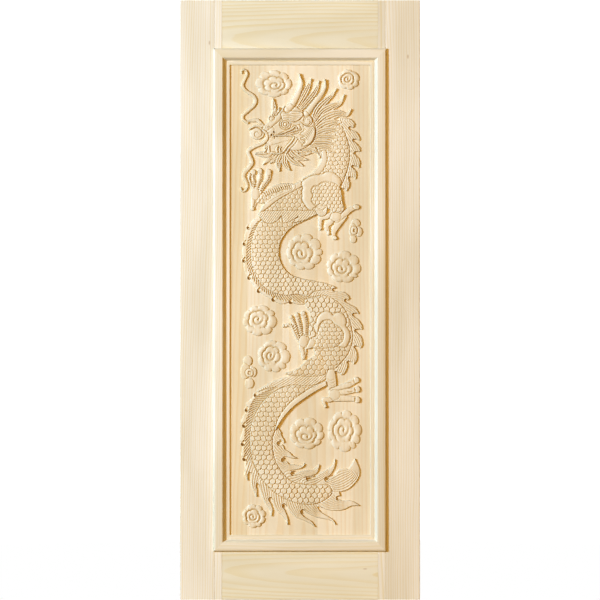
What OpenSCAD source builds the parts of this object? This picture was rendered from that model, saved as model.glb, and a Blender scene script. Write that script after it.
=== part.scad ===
// Carved temple door: a stile-and-rail leaf in pale pine with one tall carved panel.
// The leaf stands on its bottom edge. Z is up, X runs from the hinge stile to the lock
// stile, and the carved face looks towards -Y.

/* [Leaf] */
// Width of the leaf over both stiles
leaf_w = 800; // [660:1:1100]
// Height of the leaf
leaf_h = 2000; // [1600:1:2600]
// Thickness of the stiles and rails
leaf_t = 35; // [32:0.5:50]
// Rounding of the long edges of stiles and rails, cut as a small chamfer
arris = 1.2; // [0.5:0.1:2.5]

/* [Stiles and rails] */
// Width of the broad outer stave of each stile
outer_stave_w = 115; // [90:1:140]
// Width of the narrow inner stave that is glued to the outer one
inner_stave_w = 25; // [20:1:40]
// Width of the top rail
top_rail_w = 190; // [120:1:260]
// Width of the bottom rail
bottom_rail_w = 190; // [120:1:300]
// Width of the groove that holds the panel and the rail tongues
groove_w = 12.4; // [9:0.1:14]
// Depth of that groove
groove_d = 12; // [9:0.5:16]

/* [Dowels] */
// Diameter of the beech dowels in each rail joint
dowel_d = 12; // [8:0.5:14]
// Length of one dowel
dowel_l = 110; // [60:1:140]
// Distance from a rail's edge to its outermost dowel
dowel_margin = 35; // [30:1:45]

/* [Panel] */
// Thickness of the panel between its flat ground and its back
panel_t = 22; // [18:0.5:24]
// Room left for the panel to swell, in the groove at the sides and top
swell_room = 2.5; // [1:0.5:4]

/* [Moulding] */
// Height of the moulding's crown above the frame
crown_h = 9; // [6:0.5:14]
// How far the moulding laps over the stiles and rails
lap_w = 29; // [22:0.5:36]
// Width of the sloping inner side of the moulding
slope_w = 13; // [8:0.5:18]
// Width of the flat ledge that borders the carving
ledge_w = 13; // [8:0.5:18]
// Depth of the ledge below the face of the frame
ledge_drop = 2; // [0:0.5:3]

/* [Carving] */
// Height of the dragon's scaled body above the panel's ground
body_relief = 9; // [5:0.5:10]
// Height of the clouds above the ground
cloud_relief = 6; // [4:0.5:8]
// Height of the fins, flames and whiskers above the ground
fin_relief = 5; // [3:0.5:7]

/* [Hidden] */

PINE = "#EBD9B8";
PINE_DARK = "#E3CCA0";
PINE_CARVED = "#EAD5B0";
BEECH = "#D8B48A";

// Clearances: a glued joint, the seat of the loose panel, and the end of a blind hole
glue = 0.1;
seat = 0.3;
end_gap = 2;

// Worked out from the sizes above
stile_w = outer_stave_w + inner_stave_w;
open_w = leaf_w - 2 * stile_w;          // opening between the stiles
open_z0 = bottom_rail_w;                // lowest edge of the opening
open_z1 = leaf_h - top_rail_w;          // highest edge of the opening
open_h = open_z1 - open_z0;
face_y = leaf_t / 2;                    // half thickness of the frame
ground_y = panel_t / 2;                 // half thickness of the panel
border = slope_w + ledge_w;             // how far the moulding reaches into the opening
field_w = open_w - 2 * border;          // the part of the panel that shows
field_z0 = open_z0 + border;
field_h = open_h - 2 * border;
tongue_t = groove_w - 2 * glue;         // thickness of the rail and panel tongues
panel_bite = groove_d - swell_room;     // reach of the panel's tongue at the sides and top
panel_gap = 1;                          // the panel's body stands this clear of the frame
mould_seat = 0.2;                       // the moulding stands this clear of the panel

// The carving is drawn on a field of this size and follows the real field
DRAWN_W = 468;
DRAWN_H = 1568;
DRAWN_Z0 = 216;
RELIEF_SINK = 1;                        // how deep each raised layer roots in the panel
CLOUD_CROWN = 0.68;                     // a cloud's upper tier, as a share of its width
CLOUD_CORE = 0.3;                       // its middle boss, as a share of its width
CLOUD_STEP = 1.2;                       // how far the boss stands above the upper tier
LAYER_STEP = 0.13;                      // neighbouring strokes differ in height by this
function on_field(p) = [
    p[0] * field_w / DRAWN_W,
    field_z0 + (p[1] - DRAWN_Z0) * field_h / DRAWN_H
];

// ---- outlines of the carving: X from the middle, Z from the leaf's bottom edge ----

// The neck with the collar and shoulder of the right front leg
NECK = [
    [55, 1505], [63, 1488], [65, 1470], [60, 1447], [46, 1429], [24, 1412], [8, 1396],
    [4, 1378], [9, 1362], [5, 1346], [11, 1325], [29, 1300], [52, 1298], [90, 1310],
    [146, 1303], [141, 1330], [138, 1362], [143, 1400], [156, 1436], [165, 1465],
    [166, 1492], [158, 1535], [140, 1560], [100, 1562], [76, 1535]
];
// The ragged fin behind the neck, tip by tip
NECK_FIN = [
    [128, 1585], [150, 1610], [170, 1603], [184, 1580], [167, 1572], [190, 1558],
    [199, 1532], [180, 1533], [197, 1515], [202, 1492], [186, 1490], [200, 1467],
    [197, 1440], [178, 1446], [190, 1418], [182, 1402], [168, 1411], [168, 1388],
    [155, 1363], [141, 1368], [148, 1412], [163, 1458], [163, 1500], [155, 1538]
];
// The first stretch of the trunk, from under the shoulder down to the left
TRUNK_UPPER = [
    [6, 1394], [-40, 1374], [-98, 1332], [-140, 1288], [-128, 1268], [-95, 1254],
    [-40, 1262], [0, 1259], [40, 1280], [66, 1277], [88, 1312], [50, 1330], [12, 1330]
];
// The first bend, bulging to the left
BEND_ONE = [
    [-126, 1269], [-144, 1242], [-158, 1206], [-163, 1166], [-160, 1122], [-148, 1084],
    [-124, 1050], [-92, 1025], [-48, 1014], [0, 1018], [40, 1008], [118, 1040],
    [60, 1061], [0, 1073], [-36, 1088], [-58, 1114], [-69, 1142], [-70, 1172],
    [-58, 1206], [-32, 1239], [0, 1258], [-50, 1272]
];
// The fin along the outside of that bend
BEND_ONE_FIN = [
    [-128, 1280], [-160, 1263], [-172, 1245], [-188, 1220], [-184, 1190], [-199, 1164],
    [-187, 1133], [-192, 1100], [-170, 1079], [-162, 1048], [-139, 1034], [-118, 1007],
    [-89, 1003], [-66, 984], [-32, 992], [0, 982], [34, 998], [40, 1030], [-60, 1030],
    [-140, 1080], [-150, 1160], [-140, 1240]
];
// The second bend, bulging to the right, with the hind thigh
BEND_TWO = [
    [22, 1004], [60, 1030], [110, 1004], [142, 978], [162, 942], [172, 905], [175, 868],
    [164, 830], [140, 795], [106, 768], [60, 752], [4, 746], [-50, 752], [-18, 768],
    [18, 800], [34, 842], [28, 872], [52, 900], [62, 930], [40, 960]
];
// The fin along the outside of the second bend, lobe by lobe
BEND_TWO_FIN = [
    [24, 1012], [60, 1044], [118, 1046], [116, 1030], [150, 1022], [166, 1006],
    [156, 996], [186, 974], [197, 954], [181, 948], [203, 918], [207, 900], [189, 895],
    [207, 864], [205, 842], [185, 844], [191, 812], [178, 788], [161, 796], [156, 768],
    [138, 750], [121, 758], [100, 740], [50, 738], [60, 760], [140, 800], [165, 880],
    [140, 970], [80, 1010]
];
// The third bend and the tail, bulging to the left
BEND_THREE = [
    [116, 738], [86, 742], [50, 734], [0, 724], [-60, 712], [-104, 682], [-140, 642],
    [-160, 596], [-166, 545], [-163, 495], [-150, 448], [-126, 402], [-92, 366],
    [-50, 336], [0, 318], [50, 318], [88, 336], [104, 362], [96, 378], [50, 382],
    [0, 386], [-36, 400], [-64, 430], [-84, 466], [-92, 505], [-91, 545], [-78, 582],
    [-60, 604], [-38, 628], [0, 658], [54, 695], [96, 720]
];
// The low fin on the outside of the third bend
BEND_THREE_FIN = [
    [-60, 716], [-104, 706], [-146, 690], [-152, 668], [-180, 644], [-188, 608],
    [-198, 580], [-186, 556], [-202, 526], [-190, 500], [-198, 470], [-178, 446],
    [-160, 440], [-130, 440], [-150, 540], [-140, 610], [-100, 660]
];
// The fin inside the bend, from the belly to the first flame
BELLY_FIN = [
    [-52, 608], [-66, 584], [-60, 552], [-50, 522], [-72, 521], [-60, 510], [-34, 489],
    [-14, 472], [-40, 460], [-54, 464], [-40, 455], [12, 454], [8, 440], [-22, 430],
    [-18, 413], [20, 398], [60, 396], [96, 380], [60, 374], [-30, 390], [-80, 450],
    [-96, 520], [-84, 590]
];
// The head, from nostril over the brow to the cheek and back along the jaw
HEAD = [
    [-118, 1580], [-105, 1612], [-92, 1616], [-80, 1634], [-56, 1633], [-40, 1648],
    [-12, 1640], [18, 1632], [40, 1612], [50, 1582], [50, 1545], [40, 1520], [8, 1498],
    [-44, 1490], [-58, 1506], [-40, 1524], [-24, 1545], [-60, 1550], [-102, 1553]
];
// The lower jaw
JAW = [
    [-58, 1508], [-66, 1498], [-92, 1503], [-112, 1497], [-142, 1500], [-152, 1492],
    [-134, 1480], [-90, 1474], [-44, 1478], [-20, 1496]
];

// Tapered strokes: [points, width at the start, width in the middle, width at the end]
FLAMES = [
    [[[20, 392], [44, 414], [58, 430], [62, 448]], 30, 18, 4],
    [[[60, 384], [88, 404], [108, 430], [117, 464]], 36, 24, 4],
    [[[88, 352], [130, 392], [170, 430], [184, 468]], 40, 72, 5],
    [[[84, 338], [122, 312], [160, 320], [197, 317]], 40, 26, 5],
    [[[60, 332], [88, 300], [108, 284], [118, 254]], 34, 22, 4],
    [[[6, 324], [18, 292], [38, 272], [48, 245]], 40, 26, 4],
    [[[-46, 346], [-62, 306], [-48, 284], [-40, 254]], 34, 22, 4],
    [[[-92, 374], [-112, 336], [-100, 310], [-95, 282]], 34, 24, 4],
    [[[-126, 412], [-142, 392], [-150, 372], [-145, 349]], 24, 14, 4],
    [[[-144, 440], [-158, 410], [-166, 384], [-161, 357]], 26, 12, 4]
];
HORNS = [
    [[[-34, 1636], [-12, 1676], [1, 1714], [-2, 1753]], 26, 20, 4],
    [[[20, 1624], [50, 1660], [76, 1698], [84, 1734]], 24, 18, 4]
];
MANE = [
    [[[0, 1634], [22, 1680], [36, 1710], [38, 1739]], 16, 18, 4],
    [[[12, 1634], [44, 1684], [60, 1706], [64, 1731]], 14, 18, 4],
    [[[46, 1592], [72, 1640], [100, 1676], [122, 1704]], 16, 22, 4],
    [[[50, 1580], [92, 1634], [134, 1654], [148, 1684]], 24, 26, 5],
    [[[54, 1560], [104, 1606], [150, 1614], [171, 1637]], 34, 30, 5],
    [[[50, 1544], [84, 1560], [116, 1562], [146, 1552]], 36, 34, 8],
    [[[44, 1520], [76, 1524], [104, 1516], [128, 1500]], 24, 28, 6],
    [[[-10, 1500], [4, 1482], [18, 1472], [34, 1468]], 30, 18, 4]
];
WHISKERS = [
    [[[-184, 1765], [-177, 1752], [-190, 1718], [-182, 1698], [-152, 1678], [-154, 1650],
      [-190, 1618], [-188, 1600], [-150, 1596], [-122, 1586]], 9, 11, 9],
    [[[-114, 1556], [-114, 1538], [-152, 1518], [-170, 1492], [-162, 1460], [-186, 1422],
      [-176, 1384], [-182, 1364], [-198, 1372]], 9, 12, 8]
];
BEARD = [
    [[[-60, 1494], [-78, 1474], [-98, 1458], [-122, 1448]], 16, 12, 3],
    [[[-50, 1492], [-66, 1470], [-74, 1452], [-68, 1434]], 16, 14, 3],
    [[[-40, 1492], [-50, 1470], [-46, 1452], [-30, 1434]], 16, 14, 3],
    [[[-28, 1494], [-30, 1470], [-12, 1458], [12, 1449]], 18, 14, 3]
];
// Legs: forearm or shank first, then the toes
LEGS = [
    [[[-30, 1372], [-80, 1360], [-118, 1348], [-146, 1358]], 34, 30, 22],
    [[[-146, 1356], [-158, 1386], [-172, 1410], [-166, 1422]], 12, 11, 8],
    [[[-144, 1358], [-144, 1390], [-152, 1412], [-154, 1428]], 12, 13, 10],
    [[[-142, 1360], [-126, 1392], [-124, 1416], [-128, 1436]], 12, 14, 12],
    [[[-140, 1362], [-116, 1390], [-102, 1412], [-106, 1434]], 12, 16, 14],
    [[[-142, 1352], [-150, 1334], [-152, 1316], [-160, 1302]], 18, 16, 6],
    [[[112, 1312], [124, 1292], [130, 1276], [132, 1262]], 56, 40, 30],
    [[[130, 1276], [156, 1294], [174, 1306], [196, 1302]], 18, 14, 12],
    [[[136, 1276], [130, 1252], [114, 1236], [116, 1214]], 26, 18, 10],
    [[[122, 1280], [108, 1258], [90, 1244], [94, 1220]], 20, 14, 8],
    [[[108, 1284], [88, 1266], [72, 1258], [72, 1238]], 16, 12, 6],
    [[[34, 862], [14, 852], [2, 866], [4, 884]], 22, 26, 24],
    [[[6, 862], [-8, 890], [-30, 922], [-54, 914]], 18, 14, 7],
    [[[2, 878], [-8, 908], [-22, 934], [-34, 940]], 14, 14, 10],
    [[[6, 880], [0, 906], [-4, 934], [-14, 948]], 12, 13, 10],
    [[[14, 866], [18, 900], [18, 930], [8, 956]], 16, 16, 12],
    [[[14, 862], [8, 838], [14, 822], [12, 808]], 22, 22, 10],
    [[[106, 748], [108, 722], [110, 700], [118, 684]], 30, 28, 40],
    [[[124, 690], [158, 704], [176, 726], [200, 726]], 22, 14, 14],
    [[[128, 684], [160, 690], [184, 700], [204, 694]], 16, 15, 14],
    [[[120, 676], [156, 672], [184, 668], [204, 660]], 18, 16, 14],
    [[[114, 678], [96, 668], [80, 664], [84, 644]], 20, 13, 7]
];
// Clouds: middle, half width, half height, number of lobes
CLOUDS = [
    [[-88, 1722], 60, 46, 8], [[163, 1737], 36, 34, 6], [[13, 1161], 64, 62, 9],
    [[148, 1112], 57, 54, 9], [[184, 1233], 22, 43, 4], [[-132, 931], 58, 53, 8],
    [[-88, 816], 56, 54, 8], [[-171, 760], 28, 55, 4], [[22, 557], 60, 54, 8],
    [[149, 565], 57, 72, 9], [[-154, 279], 40, 40, 7]
];
// Raised patches: the muzzle scroll, the ear, the shoulder and the thigh
PATCHES = [
    [[-137, 1548], 29, 26, 6], [[26, 1594], 12, 22, 3], [[-48, 1586], 17, 16, 5],
    [[93, 1352], 50, 46, 7], [[105, 894], 42, 44, 6]
];

// ---- functions ----

// A point on the smooth (Catmull-Rom) line through four points
function between(a, b, c, d, t) =
    0.5 * (2 * b + (c - a) * t + (2 * a - 5 * b + 4 * c - d) * t * t
           + (3 * b - a - 3 * c + d) * t * t * t);
// The smooth open line through points p, with n steps to a span
function smooth_line(p, n) = let (e = len(p) - 1) [
    for (i = [0 : e - 1], k = [0 : n - 1])
        between(p[max(i - 1, 0)], p[i], p[i + 1], p[min(i + 2, e)], k / n),
    p[e]
];
// The smooth closed line through points p, with n steps to a span
function smooth_ring(p, n) = let (e = len(p)) [
    for (i = [0 : e - 1], k = [0 : n - 1])
        between(p[(i + e - 1) % e], p[i], p[(i + 1) % e], p[(i + 2) % e], k / n)
];
function left_of(v) = [-v[1], v[0]] / norm(v);
// Half the stroke's width at share s of its length: start, middle and end widths
function half_width(st, s) = s < 0.5
    ? (st[1] + (st[2] - st[1]) * 2 * s) / 2
    : (st[2] + (st[3] - st[2]) * (2 * s - 1)) / 2;
// Outline of a tapered stroke
function stroke_outline(st, n) = let (
    c = smooth_line([for (p = st[0]) on_field(p)], n),
    e = len(c) - 1,
    side = [for (i = [0 : e]) left_of(c[min(i + 1, e)] - c[max(i - 1, 0)])]
) concat(
    [for (i = [0 : e]) c[i] + side[i] * half_width(st, i / e)],
    [for (i = [e : -1 : 0]) c[i] - side[i] * half_width(st, i / e)]
);
// Outline of a cloud: an oval whose rim swells out in lobes and pinches in between them
function lobed_outline(mid, a, b, lobes, n) = [
    for (i = [0 : lobes * n - 1]) let (
        turn = 360 * i / (lobes * n),
        swell = 0.86 + 0.14 * sqrt(abs(sin(turn * lobes / 2)))
    ) on_field(mid) + [a * swell * cos(turn), b * swell * sin(turn)]
];

// ---- building blocks ----

// A layer of the carving, raised h above the ground
module layer(outline, h)
    translate([0, -ground_y + RELIEF_SINK, 0])
        rotate([90, 0, 0])
            linear_extrude(h + RELIEF_SINK)
                polygon(outline);

// A board along Z with eased edges, between two X values and two Z values
module upright_board(x0, x1, z0, z1)
    translate([0, 0, z0]) linear_extrude(z1 - z0) eased_rectangle(x0, x1, face_y);

// A board along X with eased edges, between two X values and two Z values
module level_board(x0, x1, z0, z1)
    translate([x0, 0, 0]) rotate([90, 0, 90])
        linear_extrude(x1 - x0)
            polygon([
                [-face_y + arris, z0], [face_y - arris, z0], [face_y, z0 + arris],
                [face_y, z1 - arris], [face_y - arris, z1], [-face_y + arris, z1],
                [-face_y, z1 - arris], [-face_y, z0 + arris]
            ]);

// The section of an upright board, eased only where easing can be seen
module eased_rectangle(x0, x1, half_t)
    polygon([
        [x0 + arris, -half_t], [x1 - arris, -half_t], [x1, -half_t + arris],
        [x1, half_t - arris], [x1 - arris, half_t], [x0 + arris, half_t],
        [x0, half_t - arris], [x0, -half_t + arris]
    ]);

// Height of dowel number i (0 upper, 1 middle, 2 lower) in the rail at z0 with width w
function dowel_z(z0, w, i) = z0 + w - dowel_margin - i * (w - 2 * dowel_margin) / 2;

// The three dowels of one rail joint; side is -1 at the hinge stile and 1 at the lock stile
module dowel(side, z0, w, i, d, l)
    translate([side * open_w / 2, 0, dowel_z(z0, w, i)])
        rotate([0, 90, 0])
            cylinder(h = l, d = d, center = true, $fn = 48);

module dowel_holes(side, z0, w)
    for (i = [0 : 2])
        dowel(side, z0, w, i, dowel_d + 2 * glue, dowel_l + 2 * end_gap);

module all_dowel_holes(side) {
    dowel_holes(side, open_z1, top_rail_w);
    dowel_holes(side, 0, bottom_rail_w);
}

// ---- stiles ----

module outer_stave(side)
    color(PINE)
        difference() {
            upright_board(
                side < 0 ? -leaf_w / 2 : open_w / 2 + inner_stave_w,
                side < 0 ? -open_w / 2 - inner_stave_w : leaf_w / 2,
                0, leaf_h);
            all_dowel_holes(side);
        }

module inner_stave(side)
    color(PINE_DARK)
        difference() {
            upright_board(
                side < 0 ? -open_w / 2 - inner_stave_w : open_w / 2,
                side < 0 ? -open_w / 2 : open_w / 2 + inner_stave_w,
                0, leaf_h);
            translate([side * open_w / 2, 0, leaf_h / 2])
                cube([2 * groove_d, groove_w, leaf_h + 2], center = true);
            all_dowel_holes(side);
        }

module hinge_stile_outer_stave() outer_stave(-1);
module hinge_stile_inner_stave() inner_stave(-1);
module lock_stile_outer_stave() outer_stave(1);
module lock_stile_inner_stave() inner_stave(1);

// ---- rails ----

// A rail from z0 with width w: butts on the stiles, with a tongue in each stile's groove
// and a groove for the panel along groove_z
module rail(z0, w, groove_z)
    color(PINE_DARK)
        difference() {
            union() {
                level_board(-open_w / 2, open_w / 2, z0, z0 + w);
                translate([0, 0, z0 + w / 2])
                    cube([open_w + 2 * (groove_d - seat), tongue_t, w], center = true);
            }
            translate([0, 0, groove_z])
                cube([open_w + 2 * groove_d, groove_w, 2 * groove_d], center = true);
            for (side = [-1, 1])
                dowel_holes(side, z0, w);
        }

module top_rail() rail(open_z1, top_rail_w, open_z1);
module bottom_rail() rail(0, bottom_rail_w, open_z0);

// ---- panel ----

module panel_board() {
    translate([0, 0, open_z0 + open_h / 2])
        cube([open_w - 2 * panel_gap, panel_t, open_h - 2 * panel_gap], center = true);
    // The tongue stands on the bottom groove and has room to swell at the sides and top
    tongue_z0 = open_z0 - groove_d + seat;
    tongue_h = open_z1 + panel_bite - tongue_z0;
    translate([0, 0, tongue_z0 + tongue_h / 2])
        cube([open_w + 2 * panel_bite, tongue_t, tongue_h], center = true);
}

module strokes(list, h, n)
    for (i = [0 : len(list) - 1])
        layer(stroke_outline(list[i], n), h + LAYER_STEP * (i % 4));

module clouds()
    for (i = [0 : len(CLOUDS) - 1]) {
        c = CLOUDS[i];
        core = CLOUD_CORE * min(c[1], c[2]);
        layer(lobed_outline(c[0], c[1], c[2], c[3], 5), cloud_relief - 2);
        layer(lobed_outline(c[0], CLOUD_CROWN * c[1], CLOUD_CROWN * c[2], max(c[3] - 2, 3), 5),
              cloud_relief);
        translate([on_field(c[0])[0], -ground_y + RELIEF_SINK, on_field(c[0])[1]])
            rotate([90, 0, 0])
                cylinder(h = cloud_relief + CLOUD_STEP + RELIEF_SINK, r = core, $fn = 32);
    }

module outline_layer(points, h)
    layer(smooth_ring([for (p = points) on_field(p)], 2), h);

module sharp_layer(points, h)
    layer([for (p = points) on_field(p)], h);

module carving() {
    sharp_layer(NECK_FIN, fin_relief);
    sharp_layer(BEND_ONE_FIN, fin_relief - 0.4);
    sharp_layer(BEND_TWO_FIN, fin_relief + 0.2);
    sharp_layer(BEND_THREE_FIN, fin_relief - 0.7);
    sharp_layer(BELLY_FIN, fin_relief + 0.1);
    outline_layer(TRUNK_UPPER, body_relief - 1.5);
    outline_layer(BEND_ONE, body_relief - 0.5);
    outline_layer(BEND_TWO, body_relief - 0.25);
    outline_layer(BEND_THREE, body_relief);
    outline_layer(NECK, body_relief - 0.75);
    outline_layer(HEAD, body_relief + 0.4);
    outline_layer(JAW, body_relief - 2);
    strokes(FLAMES, fin_relief + 0.35, 3);
    strokes(HORNS, body_relief + 1, 3);
    strokes(MANE, body_relief - 3, 3);
    strokes(WHISKERS, fin_relief, 3);
    strokes(BEARD, fin_relief - 1.1, 2);
    strokes(LEGS, body_relief - 2.6, 2);
    for (i = [0 : len(PATCHES) - 1]) {
        p = PATCHES[i];
        layer(lobed_outline(p[0], p[1], p[2], p[3], 5), body_relief + 1.6 + LAYER_STEP * i);
    }
    clouds();
}

module carved_panel()
    color(PINE_CARVED)
        union() {
            panel_board();
            carving();
        }

// ---- mouldings ----

// Section of the moulding. u runs from the opening's edge into the opening, v out from the
// face of the frame: a lap on the frame, a rounded outer edge, a crown, a hollow slope,
// and a ledge that drops to the panel.
module moulding_section() {
    foot_v = ground_y - face_y + mould_seat;
    ledge_t = -foot_v - ledge_drop;
    crevice = min(1.2, 0.4 * ledge_t);
    nose_r = min(7, crown_h - 1);
    ledge_r = min(2, 0.6 * ledge_t);
    function nose(a) = [-lap_w + nose_r - nose_r * cos(a), crown_h - nose_r + nose_r * sin(a)];
    function slope(t) = [
        slope_w * t,
        crown_h - (crown_h + ledge_drop + crevice) * (1 - cos(180 * t)) / 2
    ];
    function ledge_edge(a) = [
        border - ledge_r + ledge_r * sin(a),
        -ledge_drop - ledge_r + ledge_r * cos(a)
    ];
    polygon(concat(
        [[0, 0], [-lap_w, 0]],
        [for (a = [0 : 18 : 90]) nose(a)],
        [for (t = [0 : 0.125 : 1]) slope(t)],
        [[slope_w + 1, -ledge_drop]],
        [for (a = [0 : 22.5 : 90]) ledge_edge(a)],
        [[border, foot_v], [mould_seat, foot_v], [mould_seat, 0]]
    ));
}

// Half length and place of each run, from the opening that it frames
// side: -1 hinge side, 1 lock side; face: -1 front, 1 back
module upright_moulding(side, face)
    color(PINE)
        difference() {
            translate([side * open_w / 2, face * face_y, open_z0 - lap_w])
                mirror([side > 0 ? 1 : 0, 0, 0])
                    mirror([0, face < 0 ? 1 : 0, 0])
                        linear_extrude(open_h + 2 * lap_w)
                            moulding_section();
            mitre_waste(true);
        }

module level_moulding(top, face)
    color(PINE_DARK)
        difference() {
            translate([-open_w / 2 - lap_w, face * face_y, top ? open_z1 : open_z0])
                mirror([0, 0, top ? 1 : 0])
                    mirror([0, face < 0 ? 1 : 0, 0])
                        rotate([90, 0, 90])
                            linear_extrude(open_w + 2 * lap_w)
                                turned_section();
            mitre_waste(false);
        }

// The same section with v along the first axis and u along the second
module turned_section() mirror([1, -1, 0]) moulding_section();

// The waste on the far side of the mitre planes, which run at 45 degrees through the
// corners of the opening
module mitre_waste(upright) {
    reach = lap_w + border + 40;
    deep = 2 * (face_y + crown_h + 20);
    for (x = [-1, 1], end = [-1, 1])
        translate([x * open_w / 2, 0, end < 0 ? open_z0 : open_z1])
            mirror([x > 0 ? 1 : 0, 0, 0])
                mirror([0, 0, end > 0 ? 1 : 0])
                    rotate([90, 0, 0])
                        translate([0, 0, -deep / 2])
                            linear_extrude(deep)
                                polygon(upright
                                    ? [[-reach, -reach], [reach, reach], [reach, -reach]]
                                    : [[-reach, -reach], [reach, reach], [-reach, reach]]);
}

module front_moulding_hinge_side() upright_moulding(-1, -1);
module front_moulding_lock_side() upright_moulding(1, -1);
module front_moulding_top() level_moulding(true, -1);
module front_moulding_bottom() level_moulding(false, -1);
module back_moulding_hinge_side() upright_moulding(-1, 1);
module back_moulding_lock_side() upright_moulding(1, 1);
module back_moulding_top() level_moulding(true, 1);
module back_moulding_bottom() level_moulding(false, 1);

// ---- dowels ----

module top_dowel(side, i)
    color(BEECH) dowel(side, open_z1, top_rail_w, i, dowel_d, dowel_l);
module bottom_dowel(side, i)
    color(BEECH) dowel(side, 0, bottom_rail_w, i, dowel_d, dowel_l);

module hinge_top_dowel_upper() top_dowel(-1, 0);
module hinge_top_dowel_middle() top_dowel(-1, 1);
module hinge_top_dowel_lower() top_dowel(-1, 2);
module hinge_bottom_dowel_upper() bottom_dowel(-1, 0);
module hinge_bottom_dowel_middle() bottom_dowel(-1, 1);
module hinge_bottom_dowel_lower() bottom_dowel(-1, 2);
module lock_top_dowel_upper() top_dowel(1, 0);
module lock_top_dowel_middle() top_dowel(1, 1);
module lock_top_dowel_lower() top_dowel(1, 2);
module lock_bottom_dowel_upper() bottom_dowel(1, 0);
module lock_bottom_dowel_middle() bottom_dowel(1, 1);
module lock_bottom_dowel_lower() bottom_dowel(1, 2);

hinge_stile_outer_stave();
hinge_stile_inner_stave();
lock_stile_outer_stave();
lock_stile_inner_stave();
top_rail();
bottom_rail();
carved_panel();
front_moulding_hinge_side();
front_moulding_lock_side();
front_moulding_top();
front_moulding_bottom();
back_moulding_hinge_side();
back_moulding_lock_side();
back_moulding_top();
back_moulding_bottom();
hinge_top_dowel_upper();
hinge_top_dowel_middle();
hinge_top_dowel_lower();
hinge_bottom_dowel_upper();
hinge_bottom_dowel_middle();
hinge_bottom_dowel_lower();
lock_top_dowel_upper();
lock_top_dowel_middle();
lock_top_dowel_lower();
lock_bottom_dowel_upper();
lock_bottom_dowel_middle();
lock_bottom_dowel_lower();
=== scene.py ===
"""A carved pine door leaf: a panel with a dragon among clouds, in stiles, rails and mouldings.

Lengths in the carving are millimetres: X from the leaf's middle, Z from its bottom edge, and
heights above the panel's sunk ground. Meshes are metres, in the shared frame.
"""

import logging
import math
from dataclasses import dataclass, field
from enum import Enum
from typing import Sequence

import bpy
import numpy as np
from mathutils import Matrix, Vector

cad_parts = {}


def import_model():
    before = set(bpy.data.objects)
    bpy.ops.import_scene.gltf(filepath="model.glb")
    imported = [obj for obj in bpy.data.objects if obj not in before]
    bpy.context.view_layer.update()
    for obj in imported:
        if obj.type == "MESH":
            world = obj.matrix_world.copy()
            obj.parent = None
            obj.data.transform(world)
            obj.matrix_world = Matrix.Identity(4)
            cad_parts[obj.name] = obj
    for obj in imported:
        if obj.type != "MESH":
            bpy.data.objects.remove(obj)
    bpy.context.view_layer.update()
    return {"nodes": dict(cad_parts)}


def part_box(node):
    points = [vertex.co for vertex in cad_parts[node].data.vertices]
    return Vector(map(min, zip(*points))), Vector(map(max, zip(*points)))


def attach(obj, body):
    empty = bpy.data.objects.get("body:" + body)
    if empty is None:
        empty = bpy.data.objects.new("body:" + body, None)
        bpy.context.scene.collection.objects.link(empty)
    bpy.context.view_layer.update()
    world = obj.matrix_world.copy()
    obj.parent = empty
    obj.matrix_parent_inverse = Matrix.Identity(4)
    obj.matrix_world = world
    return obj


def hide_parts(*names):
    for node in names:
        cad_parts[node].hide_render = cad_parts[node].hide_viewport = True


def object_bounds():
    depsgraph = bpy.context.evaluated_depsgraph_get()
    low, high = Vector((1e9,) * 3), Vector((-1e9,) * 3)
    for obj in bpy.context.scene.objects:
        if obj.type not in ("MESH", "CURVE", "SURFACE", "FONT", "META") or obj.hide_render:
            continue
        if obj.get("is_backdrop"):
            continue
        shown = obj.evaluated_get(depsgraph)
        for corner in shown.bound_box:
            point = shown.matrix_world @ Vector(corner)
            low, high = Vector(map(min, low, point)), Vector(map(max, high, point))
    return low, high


LOG = logging.getLogger("carved_door")
MM = 0.001
Point = tuple[float, float]
Line = Sequence[Point]
Triple = tuple[float, float, float]

# How wide the sunk strip beside a stroke or a plate is
CUT_REACH = 2.6
# What a cut leaves standing of a carved shape, and what counts as carved
LEAST_HEIGHT = 0.3
# How soft the wall of a pocket is
POCKET_WALL = 1.2


# ---------------------------------------------------------------------------
# Curves
# ---------------------------------------------------------------------------


def smooth_line(points: Line, steps: int = 8) -> np.ndarray:
    """The smooth open line through given points.

    Between two points the line is the Catmull-Rom cubic through both and their neighbours.

    Args:
        points: The points that the line passes through.
        steps: Samples in each span.

    Returns:
        An (n, 2) array of points along the line.
    """
    p = np.asarray(points, float)
    padded = np.vstack([p[0], p, p[-1]])
    return np.vstack([cubic_spans(padded, steps), p[-1]])


def smooth_ring(points: Line, steps: int = 6) -> np.ndarray:
    """The smooth closed line through given points, by the same cubic as smooth_line."""
    p = np.asarray(points, float)
    return cubic_spans(np.vstack([p[-1], p, p[0], p[1]]), steps)


def cubic_spans(padded: np.ndarray, steps: int) -> np.ndarray:
    """Samples the Catmull-Rom cubic between each pair of inner points of a padded list."""
    t = (np.arange(steps) / steps)[None, :, None]
    last = len(padded) - 3
    a, b, c, d = (padded[k : last + k][:, None, :] for k in range(4))
    spans = 0.5 * (2 * b + (c - a) * t + (2 * a - 5 * b + 4 * c - d) * t**2 + (3 * b - a - 3 * c + d) * t**3)
    return spans.reshape(-1, 2)


# ---------------------------------------------------------------------------
# The carver's bench: a sheet of heights that strokes and plates are cut into
# ---------------------------------------------------------------------------


def smooth_widths(widths: Sequence[float], share: np.ndarray) -> np.ndarray:
    """Half widths at shares of a stroke's length, on a smooth curve through the given widths."""
    curve = smooth_line([(8.0 * k, width) for k, width in enumerate(widths)], 6)
    return np.maximum(np.interp(share * 8.0 * (len(widths) - 1), curve[:, 0], curve[:, 1]) / 2, 0.3)


class Lay(Enum):
    """How a new shape meets what is already carved."""

    OVER = "over"
    HIGHEST = "highest"


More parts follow.
